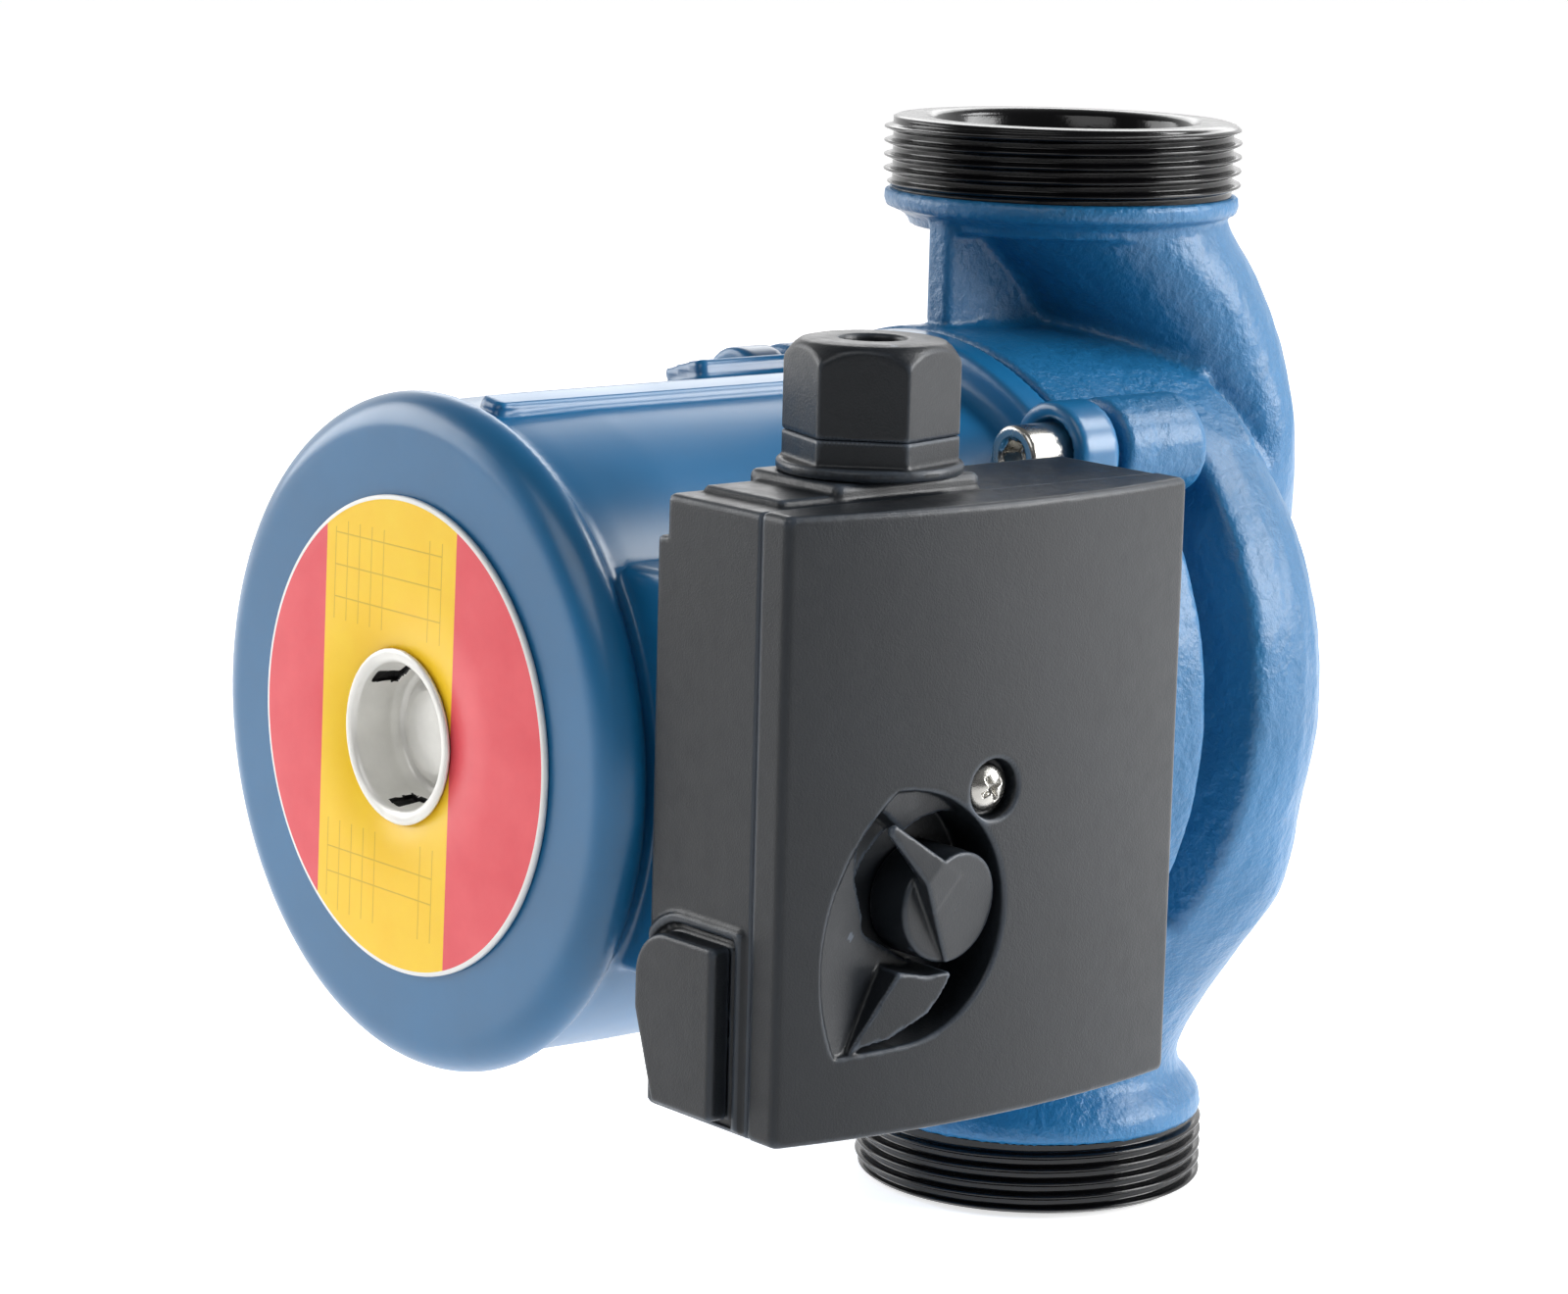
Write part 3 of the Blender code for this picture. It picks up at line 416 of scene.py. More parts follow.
def paint(name, colour, rough, peel, coarse, coat):
    """Enamel over metal: slight clouding, gloss that varies, sharp edges paler, and the relief under the paint."""
    m = Finish(name)
    cloud = m.noise(38, 4)
    base = m.mixed(m.ranged(cloud, 0.0, 1.0), darker(colour, 0.9), darker(colour, 1.09))
    # sharp edges, found by pointiness, are mixed up to a third of the way towards a blue 1.9 times paler
    m.colour(m.mixed(m.edges(0.0, 0.3, 0.515, 0.6), base, darker(colour, 1.9)))
    m.rough(m.ranged(m.noise(46, 2), rough - 0.03, rough + 0.05))
    if coarse:
        m.bump(m.noise(520, 2), 0.000025 * peel)
        m.bump(m.noise(760, 3, 0.6), 0.00034 * coarse)
        m.bump(m.noise(230, 2, 0.5), 0.00042 * coarse)
        m.bump(m.cells(330), 0.00012 * coarse)
    m.set(Coat_Weight=coat, Coat_Roughness=0.22)
    return m


def plastic(name, colour, rough, grain=1.0, edge_highlight=0.5, shine=0.5):
    """Moulded plastic with a fine spark-eroded grain and a painted highlight: its sharp edges painted paler."""
    m = Finish(name)
    cloud = m.noise(55, 4)
    base = m.mixed(m.ranged(cloud, 0.0, 1.0), darker(colour, 0.9), darker(colour, 1.12))
    # sharp edges, found by pointiness, are mixed towards a colour eight times paler: a painted highlight along them
    m.colour(m.mixed(m.edges(0.0, edge_highlight, 0.515, 0.575), base, darker(colour, 8.0)))
    m.rough(m.ranged(m.noise(300, 3), rough - 0.05, rough + 0.07))
    m.bump(m.noise(3000, 2), 0.00004 * grain)
    m.bump(m.noise(420, 2), 0.00003 * grain)
    m.set(Specular_IOR_Level=shine)
    return m


def metal(name, colour, rough, grain=1.0, way=(1, 1, 1), spread=0.06):
    """Bare or plated metal with fine tool marks and fingerprints."""
    m = Finish(name)
    m.set(Metallic=1.0)
    m.colour(m.mixed(m.ranged(m.noise(140, 4), 0.0, 1.0), darker(colour, 0.86), colour))
    m.rough(m.ranged(m.noise(260, 4), max(rough - spread, 0.03), rough + spread))
    m.bump(m.noise(2600, 2, coord=m.stretched(*way)), 0.00003 * grain)
    return m


BLUE = srgb(22, 100, 148)
finish = {
    "cast_blue": paint("cast_blue", BLUE, 0.4, 0.8, 1.0, 0.22),
    "motor_blue": paint("motor_blue", BLUE, 0.31, 0.3, 0.0, 0.3),
    "black_plastic": plastic("black_plastic", srgb(25, 29, 34), 0.37, 1.0, 0.8, 0.42),
    "knob_black": plastic("knob_black", srgb(27, 31, 36), 0.32, 0.6, 0.7, 0.42),
    "thread_black": plastic("thread_black", srgb(8, 8, 10), 0.13, 0.5, 0.0, 0.4),
    # near-black for the walls of the vent cup's key slots: painted shade in the slots
    "slot_painted_shade": plastic("slot_painted_shade", srgb(14, 14, 15), 0.5, 1.0, 0.0),
    "satin": metal("satin", srgb(238, 237, 232), 0.34, 0.6, (1, 6, 1)),
    "steel": metal("steel", srgb(205, 203, 198), 0.24, 1.0),
    "chrome": metal("chrome", srgb(226, 226, 222), 0.27, 0.8, (1, 6, 1)),
    "machined": metal("machined", srgb(200, 201, 204), 0.34, 3.0, (1, 1, 5)),
    "brass": metal("brass", srgb(206, 172, 96), 0.28),
    "copper": metal("copper", srgb(196, 112, 70), 0.36, 4.0, (6, 1, 6)),
    "lamination": metal("lamination", srgb(132, 134, 138), 0.46, 6.0, (1, 60, 1)),
    "rubber": plastic("rubber", srgb(30, 30, 31), 0.7, 2.0, 0.1),
    "carbon": plastic("carbon", srgb(36, 36, 38), 0.5, 1.0, 0.2),
    "ceramic": plastic("ceramic", srgb(222, 219, 208), 0.25, 0.4, 0.0),
    "composite": plastic("composite", srgb(60, 58, 54), 0.5, 1.2, 0.3),
    "white_plastic": plastic("white_plastic", srgb(226, 224, 216), 0.4, 0.6, 0.0),
    "lead_brown": plastic("lead_brown", srgb(106, 62, 34), 0.4, 0.5, 0.1),
    "lead_blue": plastic("lead_blue", srgb(38, 84, 178), 0.4, 0.5, 0.1),
}

def label_finish():
    """The round plate: a yellow band between two red fields inside a thin white rim, with blank ruled lines."""
    m = Finish("plate")
    x, _, z = m.axes()
    x = m.math("MULTIPLY", x, 1000.0)
    z = m.math("SUBTRACT", m.math("MULTIPLY", z, 1000.0), AXIS_Z)
    r = m.math("SQRT", m.math("ADD", m.math("MULTIPLY", x, x), m.math("MULTIPLY", z, z)))

    def inside(value, lo, hi):
        return m.math("MULTIPLY", m.math("GREATER_THAN", value, lo), m.math("LESS_THAN", value, hi))

    x = m.math("SUBTRACT", x, m.math("MULTIPLY", z, 0.035))
    ink = m.noise(90, 4)
    red = m.mixed(m.ranged(ink, 0, 1), srgb(230, 80, 90), srgb(238, 94, 102))
    yellow = m.mixed(m.ranged(ink, 0, 1), srgb(253, 204, 34), srgb(255, 212, 48))
    band = inside(x, -21.0, 13.0)
    colour = m.mixed(band, red, yellow)
    rim = m.math("GREATER_THAN", r, 36.0)
    lines = None
    for at in (-18.6, -15.4, -12.2, -9.0, -5.8, 6.2, 9.4):
        rule = inside(x, at - 0.11, at + 0.11)
        lines = rule if lines is None else m.math("MAXIMUM", lines, rule)
    for at in (-24.5, -20.5, 19.0, 24.0, 29.0):
        rule = m.math("MULTIPLY", inside(z, at - 0.11, at + 0.11), inside(x, -18.6, 9.4))
        lines = m.math("MAXIMUM", lines, rule)
    table = m.math("MAXIMUM", inside(z, 15.5, 31.0), inside(z, -30.5, -16.0))
    lines = m.math("MULTIPLY", m.math("MULTIPLY", lines, table), m.math("LESS_THAN", r, 34.6))
    colour = m.mixed(m.math("MULTIPLY", lines, 0.36), colour, srgb(120, 84, 20))
    colour = m.mixed(rim, colour, srgb(240, 240, 238))
    m.colour(colour)
    m.rough(m.ranged(m.noise(46, 2), 0.28, 0.38))
    m.set(Coat_Weight=0.1, Coat_Roughness=0.2, Specular_IOR_Level=0.3)
    return m


finish["plate"] = label_finish()
finish["satin"].set(Metallic=0.25)


def dress(obj, body, slot, *replaced, look=None):
    """Gives a piece its material (the look's finish, else the slot's) and its body, and hides the nodes it stands for.
    """
    obj.data.materials.clear()
    obj.data.materials.append(finish[look or slot].mat)
    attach(obj, body)
    if replaced:
        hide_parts(*replaced)
    return obj


# ------------------------------------------------------------------ pump housing
SPAN_PROFILE = [
    (0, 28.2), (56.5, 28.2), (56.5, 17.6), (55.4, 16.6), (49.0, 13.9), (46.6, 12.6), (45.4, 10.9), (45.6, 9.4), (48.0, 8.1),
    (55.1, 5.9), (56.1, 5.1), (56.5, 3.6), (56.6, -1.0), (56.0, -5.6), (54.2, -9.8), (51.4, -13.6), (47.6, -17.0),
    (42.4, -20.2), (36.0, -22.9), (28.4, -25.1), (20.0, -26.5), (10.0, -27.2), (0, -27.4),
]
TOP_NECK = [
    (74, 12, 19, 12), (92, 14.2, 28.6, 20), (112, 17, 32, 23.6), (129, 21.6, 32, 15.4), (142, 18, 30, 19),
    (154, 11, 28.4, 22), (162, 4.6, 26.4, 24), (167, 1.8, 25.6, 25.2), (172, 0.4, 25.4, 25.4),
]
BOTTOM_NECK = [
    (8, 0, 24.4, 24.4), (15.5, 0, 24.4, 24.4), (22, 0.4, 24.8, 24.2), (30, 2.4, 28.2, 23.3), (44, 5.2, 37.8, 23),
    (56, 7, 45.8, 22.8), (68, 6.4, 47.6, 20.6), (82, 5, 41, 15),
]
TOP_DUCT = [(76, 14.0, 14, 8), (104, 18, 18.5, 10.2), (122, 20.6, 19.5, 11.4), (144, 16.6, 20.6, 14.8),
            (157, 8.2, 21, 18.2), (169, 0.3, 21.5, 21.5), (190, 0, 21.5, 21.5)]
BOTTOM_DUCT = [(-10, 0, 21.5, 21.5), (8, 0, 21.5, 21.5), (16, 0, 21.5, 21.5), (28, -1, 21, 16), (40, -3.4, 20.5, 10),
               (60, -5, 20, 8.4)]
LOWER_FLARE = [(0, 11.9), (29.0, 11.9), (29.4, 13.2), (29.0, 15.4), (27.6, 17.4), (25.8, 19.4), (24.6, 22.0), (24.2, 25.0), (0, 25.0)]
UPPER_COLLAR = [(0, 162.0), (25.0, 162.0), (25.6, 163.6), (27.4, 164.6), (29.0, 165.2), (29.4, 166.4), (29.2, 168.1), (0, 168.1)]


def housing(P):
    x, y, z = P.T
    a = -y
    zz = z - AXIS_Z
    r = np.hypot(x, zz)
    rz = np.hypot(x, y)
    d = polygon(r, a, SPAN_PROFILE)
    # above and below, between the bosses, the rim runs back to the necks as one saddle
    turn = np.arctan2(np.abs(zz), np.abs(x))
    saddle = soft_max(bar(r, a, 56.4, -9.0, 27.8, 1.0), r * np.sin(math.radians(44.0) - turn), 3.0)
    d = soft_min(d, saddle, 1.2)
    screw = np.hypot(np.abs(x) - SCREW_X, np.abs(zz) - SCREW_Z)
    start = np.where(zz > 0, 10.0, 17.5)
    boss = bar(screw, a, 8.2, -60.0, 27.4, 1.1)
    d = soft_min(d, soft_max(boss, start - a, 2.0), 3.0)
    d = soft_max(d, a - 28.2, 0.4)
    d = soft_min(d, oval_loft(P, TOP_NECK, 76, 172), 2.6)
    d = soft_min(d, oval_loft(P, BOTTOM_NECK, 8, 80), 6.0)
    web = np.minimum(block(P, (-3.2, -26.6, 147.3), (2.4, 4.0, 167.0), 1.2), block(P, (-3.2, -20.2, 138.0), (2.4, 4.0, 160.0), 1.2))
    d = soft_min(d, web, 2.0)
    d = soft_min(d, block(P, (-6, -21, 12.5), (6, 6, 50), 2.4), 3.0)
    rough = np.clip((25.0 - a) / 3.0, 0, 1) * np.clip((z - 24.0) / 8.0, 0, 1)
    d = d + 0.04 * lumps(P, 5.0, 3) * rough + 0.022 * lumps(P, 3.0, 4) * rough
    d = soft_min(d, polygon(rz, z, LOWER_FLARE), 1.5)
    d = soft_min(d, polygon(rz, z, UPPER_COLLAR), 1.2)
    d = np.maximum(d, np.maximum(12.0 - z, z - 168.0))
    hollow = np.minimum(oval_loft(P, TOP_DUCT, 78, 190), oval_loft(P, BOTTOM_DUCT, -10, 60))
    hollow = np.minimum(hollow, np.minimum(bar(r, a, 45.5, 14.5, 40), bar(r, a, 41.0, -3.5, 40)))
    hollow = np.minimum(hollow, np.minimum(bar(r, a, 20.8, -6.6, 0), bar(r, a, 14.0, -19.0, 0)))
    hollow = np.minimum(hollow, np.minimum(bar(screw, a, 3.3, 19.0, 40), bar(r, a, 53.4, 27.0, 40)))
    # the waterways keep a wall behind and beside them
    waist = (a < 8.0) & (r > 6.0) & (z > 28.0) & (z < 156.0)
    hollow = np.where(waist, np.maximum(hollow, d + 2.0), hollow)
    return soft_max(d, -hollow, 0.6)


casting = skin("housing_casting", housing, (-58, -30, 12), (58, 42, 168), 0.95)
dress(casting, "pump_body", "cast_blue", "pump_housing")

PITCH, CREST, ROOT, THREAD = 2.309, 29.65, 28.2, 12.0


def port_thread(name, face, inward):
    """A pipe end: a helical thread with a lead-in, a machined end face and the first stretch of the bore."""
    def row_points(row, angles):
        kind, t, radius = row
        if kind == "thread":
            phase = (t / PITCH - inward * angles / (2 * math.pi)) % 1.0
            ridge = np.clip(1.18 - 2.36 * np.abs(phase - 0.5) * 1.6, 0, 1)
            ridge = ridge * ridge * (3 - 2 * ridge)
            fade = np.clip((11.7 - t) / 1.1, 0, 1)
            radius = ROOT + (CREST - ROOT) * ridge * fade
            radius = np.minimum(radius, 28.3 + 1.15 * t)
        else:
            radius = np.full(angles.shape, radius)
        return np.stack([radius * np.cos(angles), radius * np.sin(angles), np.full(angles.shape, face + inward * t)], 1)

    rows = [("ring", 0.0, 27.6)] + [("thread", 0.35 + 11.65 * k / 76, 0) for k in range(77)]
    rows += [("ring", 12.0, 27.0), ("ring", 12.0, 21.6), ("ring", 6.0, 21.5), ("ring", 1.2, 21.5), ("ring", 0.5, 22.1),
             ("ring", 0.0, 22.9), ("ring", 0.0, 25.2)]
    return dress(wrapped(name, rows, 144, row_points), "pump_body", "cast_blue", look="thread_black")


port_thread("upper_thread", 180.0, -1)
port_thread("lower_thread", 0.0, 1)


# ------------------------------------------------------------------ motor housing
CAP_ROUND = [(46.8 + 5.3 * math.cos(t), 125.7 + 5.3 * math.sin(t)) for t in np.linspace(0, math.pi / 2, 12)]
SHELL = [(0, 26.0), (50.5, 26.0), (50.5, 105.0), (50.2, 119.0), (50.0, 122.8), (50.5, 124.1), (51.6, 124.7)] + CAP_ROUND + [(0, 131.0)]


def motor(P):
    x, y, z = P.T
    a = -y
    zz = z - AXIS_Z
    r = np.hypot(x, zz)
    barrel = polygon(r, a, SHELL)
    turn = np.arctan2(zz, x)
    strip = np.maximum(rect(52.0 * (turn - math.radians(81.5)), a, -2.7, 2.7, 38.0, 122.0, 1.2), np.abs(r - 50.4) - 1.8)
    barrel = soft_min(barrel, strip, 0.4)
    rail = np.maximum(rect(53.0 * (turn - math.radians(106.0)), a, -5.0, 5.0, 28.0, 68.0, 1.2), np.abs(r - 51.4) - 2.1)
    barrel = soft_min(barrel, rail, 0.8)
    d = soft_min(barrel, bar(r, a, 56.3, 28.4, 34.0, 0.9), 2.6)
    screw = np.hypot(np.abs(x) - SCREW_X, np.abs(zz) - SCREW_Z)
    d = soft_min(d, bar(screw, a, 8.2, 29.3, 37.4, 1.0), 2.2)
    d = soft_min(d, block(P, (40.0, -121.6, 61.0), (54.6, -52.5, 121.6), 1.6), 0.8)
    d = soft_max(d, 28.4 - a, 0.4)
    d = soft_max(d, -bar(screw, a, 5.6, 35.65, 60), 0.6)
    hollow = np.minimum(bar(r, a, 48.6, 0, 119), bar(r, a, 45.0, 0, 126.0))
    hollow = np.minimum(hollow, np.minimum(bar(r, a, 12.9, 0, 140), bar(r, a, 53.4, 0, 28.7)))
    hollow = np.minimum(hollow, bar(screw, a, 3.4, 0, 40))
    lead = np.hypot(y + 115.0, z - 104.0)
    hollow = np.minimum(hollow, bar(lead, x, 4.6, 30, 60))
    return soft_max(d, -hollow, 0.5)


dress(skin("motor_shell", motor, (-58, -131, 32), (58, -28.4, 148), 0.95), "pump_body", "motor_blue", "motor_housing")


def plate_ring(row, angles):
    r, a = row
    return np.stack([r * np.cos(angles), np.full(angles.shape, -a), AXIS_Z + r * np.sin(angles)], 1)


plate = wrapped("rating_disc", [(13.0, 131.25), (13.0, 131.9), (13.2, 132.05), (24.0, 132.05), (36.0, 132.05),
                                (36.45, 132.02), (36.65, 131.9), (36.7, 131.7), (36.7, 131.25)], 160, plate_ring)
dress(plate, "pump_body", "plate", "rating_plate")

PLUG = [(0, 113.8), (7.0, 113.8), (7.8, 114.6), (7.8, 123.2), (12.4, 123.2), (12.4, 132.16), (13.2, 132.22), (13.5, 132.45),
        (13.45, 132.75), (13.1, 132.93), (12.6, 132.95), (11.9, 132.8), (11.4, 132.3), (10.7, 126.4), (10.1, 124.9), (9.2, 124.4),
        (8.5, 124.6), (8.0, 125.5), (6.5, 126.1), (3.5, 126.5), (0, 126.6)]
SLOTS = [(128, 142, 126.6, 131.2), (104, 134, 126.3, 127.5), (250, 264, 126.8, 131.2), (258, 285, 126.3, 127.5)]


def notch(x, a, zz):
    """The bayonet slots for the key, cut into the wall of the cup: rows of two angles and two depths."""
    turn = np.degrees(np.arctan2(zz, x)) % 360
    best = None
    for t0, t1, a0, a1 in SLOTS:
        one = rect(0.19 * (turn - (t0 + t1) / 2), a, -0.095 * (t1 - t0), 0.095 * (t1 - t0), a0, a1, 0.2)
        best = one if best is None else np.minimum(best, one)
    r = np.hypot(x, zz)
    return np.maximum(best, np.maximum(9.6 - r, r - 11.9))


def vent_plug(P):
    x, y, z = P.T
    a, zz = -y, z - AXIS_Z
    d = polygon(np.hypot(x, zz), a, PLUG) - 0.03
    return soft_max(d, -notch(x, a, zz), 0.2)


cup = skin("vent_cup", vent_plug, (-13.6, -133, 76.3), (13.6, -113.7, 103.7), 0.32)
dress(cup, "vent_screw", "chrome", "vent_plug", look="satin")
# faces in the key slots get the near-black finish: painted shade in the slots
cup.data.materials.append(finish["slot_painted_shade"].mat)
centres = np.empty(len(cup.data.polygons) * 3, np.float32)
cup.data.polygons.foreach_get("center", centres)
centres = centres.reshape(-1, 3).astype(float) / MM
shaded_notch = (notch(centres[:, 0], -centres[:, 1], centres[:, 2] - AXIS_Z) < 0.12)
shaded_notch &= np.hypot(centres[:, 0], centres[:, 2] - AXIS_Z) > 9.4
cup.data.polygons.foreach_set("material_index", shaded_notch.astype(np.int32))


# ------------------------------------------------------------------ screws
def flange_screw(P):
    x, y, z = P.T
    a = -y
    r = np.hypot(x - SCREW_X, z - AXIS_Z - SCREW_Z)
    d = np.minimum(bar(r, a, 5.0, 36.0, 45.0, 0.7), bar(r, a, 3.0, 20.0, 37.0, 0.5))
    socket = np.maximum(hexagon(x - SCREW_X, z - AXIS_Z - SCREW_Z, 5.0, 0.4, 0.2), 40.4 - a)
    lead_in = bar(r, a + 0.0, 3.1, 44.6, 50)
    return soft_max(d, -np.minimum(socket, lead_in), 0.3)


head = skin("flange_bolt_1", flange_screw, (34, -45.2, 126), (45, -19.8, 137), 0.33)
for number, (sx, sz) in enumerate(CORNERS, 1):
    obj = head
    if number > 1:
        mesh = head.data.copy()
        mesh.transform(Matrix.Translation(((sx - 1) * SCREW_X * MM, 0, (sz - 1) * SCREW_Z * MM)))
        obj = bpy.data.objects.new(f"flange_bolt_{number}", mesh)
        bpy.context.scene.collection.objects.link(obj)
    dress(obj, "pump_body", "steel", f"flange_screw_{number}")


# ------------------------------------------------------------------ terminal box
def face_x(y):
    return 84.0 + 4.5 * (1 - ((y - FACE_MID) / FACE_HALF) ** 2)


def blank_plan(x, z):
    """Outline of the entry blank: rounded at the upper left, straight on the right, drawn in below."""
    upper = rect(x, z, 56.1, 96.0, 30.0, 72.0, 7.0)
    lower = np.maximum((56.1 + (BLANK_Z - z) * 0.33 - x) * 0.95, 46.8 - z)
    return soft_max(np.where(z > BLANK_Z, upper, lower), x - 74.0, 0.8)


def box_base(P):
    x, y, z = P.T
    d = soft_max(rect(y, z, -126.3, -50.4, 44.6, 134.6, 1.2), rect(x, z, 55.0, 90.0, 44.6, 134.6, 1.2), 0.6)
    d = soft_max(d, x - 78.1, 0.25)
    d = soft_min(d, block(P, (55.4, -111.7, 126), (77.0, -84.9, 137.0), 1.1), 0.9)
    d = soft_min(d, block(P, (59.0, -121.5, 126), (76.6, -111.0, 135.5), 0.6), 0.7)
    plan, proud = blank_plan(x, z), -126.3 - y
    frame_ring = soft_max(np.abs(plan - 1.9) - 0.7, np.abs(proud) - 0.7, 0.3)
    d = soft_min(d, np.maximum(frame_ring, np.maximum(45.6 - z, 55.4 - x)), 0.4)
    d = soft_max(d, -np.maximum(np.abs(plan - 0.7) - 0.45, -0.7 - proud), 0.3)
    d = soft_max(d, -block(P, (40, -140, 128.2), (57.2, -40, 150), 0.3), 0.6)
    hollow = block(P, (57.6, -124.0, 46.9), (90, -52.7, 132.3), 0.8)
    hollow = np.minimum(hollow, bar(np.hypot(x - GLAND_X, y - GLAND_Y), z, 7.7, 120, 150))
    hollow = np.minimum(hollow, bar(np.hypot(y + 115.0, z - 104.0), x, 4.6, 40, 70))
    hollow = np.minimum(hollow, bar(np.hypot(x - BLANK_X, z - BLANK_Z), -y, 5.0, 118, 140))
    for sy, sz in ((-119.0, 74.0), (-78.0, 74.0)):
        hollow = np.minimum(hollow, bar(np.hypot(y - sy, z - sz), x, 2.4, 40, 70))
    return soft_max(d, -hollow, 0.5)


dress(skin("box_base", box_base, (55, -127.2, 44.6), (78.1, -50.4, 137), 0.62), "pump_body", "black_plastic",
      "terminal_box_base")

TIP = [(-118.8, 60.5), (-116.9, 57.0), (-107.0, 57.4), (-107.0, 66.0), (-118.8, 66.0)]
STOP = [(-106.3, 68.2), (-115.2, 56.2), (-112.0, 58.0), (-107.8, 58.6), (-101.0, 61.6), (-98.2, 65.0), (-97.0, 67.2),
        (-101.2, 67.1)]
LEVER_SLOT = [(-110.9, 92.0), (-113.4, 86.4), (-112.8, 82.0), (-110.4, 76.6), (-100.0, 76.0), (-100.0, 84.8),
              (-104.3, 87.6), (-108.6, 90.8)]


def box_cover(P):
    x, y, z = P.T
    slope = 9.0 * (y - FACE_MID) / FACE_HALF ** 2
    face = face_x(y)
    front = (x - face) / np.sqrt(1 + slope ** 2)
    d = soft_max(front, rect(y, z, -126.3, -50.4, 44.6, 134.6, 1.2), 1.1)
    rc = np.hypot(y - RECESS_Y, z - RECESS_Z)
    rk = np.hypot(y - KNOB_Y, z - KNOB_Z)
    post = np.hypot(y - COVER_SCREW_Y, z - COVER_SCREW_Z)
    inner = np.maximum(front + 2.3, rect(y, z, -124.0, -52.7, 46.9, 132.3, 1.0))
    d = soft_max(soft_max(d, -inner, 0.5), 78.25 - x, 0.25)
    # behind the face, the cup of the recess and the screw post
    cup = np.maximum(np.maximum(rc - 20.4, 76.9 - x), front + 0.8)
    cup = np.maximum(cup, np.minimum(-(y + 123.2), 80.0 - x))
    d = np.minimum(d, cup)
    d = np.minimum(d, np.maximum(post - 5.6, np.maximum(78.9 - x, front + 0.8)))
    # the recess: a dish that falls away from the left edge, a deeper well round the knob, and the stop
    within = np.hypot(y + 86.8, z - 69.45) - 32.5
    leaf = np.maximum(within, np.minimum(np.hypot(y + 106.6, z - 76.0) - 18.5, polygon(y, z, TIP)))
    depth = np.clip(0.5 - 0.36 * within, 0, 7.4)
    stop = polygon(y, z, STOP)
    dish = np.maximum(leaf, face - depth - x)
    dish = soft_max(dish, -stop, 0.5)
    well = np.maximum(soft_max(rk - 13.2, -(0.476 * (y + 107.5) + 0.879 * (z - 72.2)), 1.0), 78.9 - x)
    well = np.minimum(well, np.maximum(polygon(y, z, LEVER_SLOT) - 0.3, face - 6.0 - x))
    well = np.maximum(np.maximum(well, leaf), -stop)
    over_stop = np.maximum(leaf, face - 0.4 - x)
    cut = np.minimum(np.minimum(dish, well), over_stop)
    d = soft_max(d, -cut, 0.6)
    d = soft_max(d, -bar(rk, x, 3.5, 60, 100), 0.4)
    d = soft_max(d, -bar(post, x, 4.4, face_x(COVER_SCREW_Y) - 3.0, 100), 0.5)
    return soft_max(d, -bar(post, x, 2.3, 60, 100), 0.3)


dress(skin("box_cover", box_cover, (76.8, -126.3, 44.6), (88.6, -50.4, 134.6), 0.46), "pump_body", "black_plastic",
      "terminal_box_cover")


FINGER = [(3.0, 3.2), (7.7, 1.4), (18.0, 0.15), (18.6, -0.6), (18.2, -1.5), (8.8, -3.0), (3.0, -3.9)]


def knob(P):
    x, y, z = P.T
    dy, dz = y - KNOB_Y, z - KNOB_Z
    rk = np.hypot(dy, dz)
    u = dy * math.cos(LEVER) + dz * math.sin(LEVER)
    v = -dy * math.sin(LEVER) + dz * math.cos(LEVER)
    d = np.minimum(bar(rk, x, 8.3, 79.1, 87.0, 0.6), bar(rk, x, 3.0, 62.5, 80.0, 0.4))
    top = np.where(u > 8.0, 90.1 - 0.07 * (u - 8.0), 90.1 - 0.19 * (8.0 - u))
    # one side of the disc stands higher and runs out into the pointer
    half = soft_max(rk - 8.2, (v - 1.4 + 0.393 * (u - 7.7)) * 0.93, 0.3)
    raised = soft_max(soft_max(half, x - top, 0.5), 84.0 - x, 0.3)
    arm = soft_max(soft_max(polygon(u, v, FINGER), x - top, 0.5), 88.3 - x, 0.4)
    return soft_min(soft_min(d, raised, 0.2), arm, 0.25)


dress(skin("speed_pointer", knob, (62.4, -114, 68), (90.4, -88.9, 92), 0.36), "speed_selector", "knob_black", "speed_knob")


def cover_screw(P):
    x, y, z = P.T
    seat = face_x(COVER_SCREW_Y) - 2.7
    u, v = y - COVER_SCREW_Y, z - COVER_SCREW_Z
    r = np.hypot(u, v)
    dome = np.sqrt(r * r + (x - seat + 2.6) ** 2) - 4.95
    d = soft_max(np.maximum(r - 3.5, seat - x), dome, 0.4)
    d = np.minimum(d, bar(r, x, 2.0, 66.0, seat + 0.5, 0.4))
    c, s = math.cos(0.5), math.sin(0.5)
    p, q = u * c + v * s, -u * s + v * c
    arms = np.minimum(rect(p, q, -1.9, 1.9, -0.42, 0.42), rect(p, q, -0.42, 0.42, -1.9, 1.9))
    cross = np.maximum(arms, seat + 0.7 + 0.5 * r - x)
    return soft_max(d, -cross, 0.15)


dress(skin("lid_screw", cover_screw, (66, -94.1, 89.6), (88.3, -86.9, 96.8), 0.2), "pump_body", "steel", "cover_screw")


def entry_blank(P):
    x, y, z = P.T
    b = -y - 126.3
    r = np.hypot(x - BLANK_X, z - BLANK_Z)
    lid = soft_max(soft_max(blank_plan(x, z), b - 3.6, 0.9), 0.3 - b, 0.2)
    return np.minimum(lid, bar(r, b, 4.7, -5.0, 1.0, 0.5))


dress(skin("entry_cap", entry_blank, (55.9, -130.0, 46.7), (74.1, -121.2, 72.6), 0.4), "pump_body", "black_plastic",
      "entry_blank")

# ------------------------------------------------------------------ cable gland
FLAT = math.radians(-46.0)


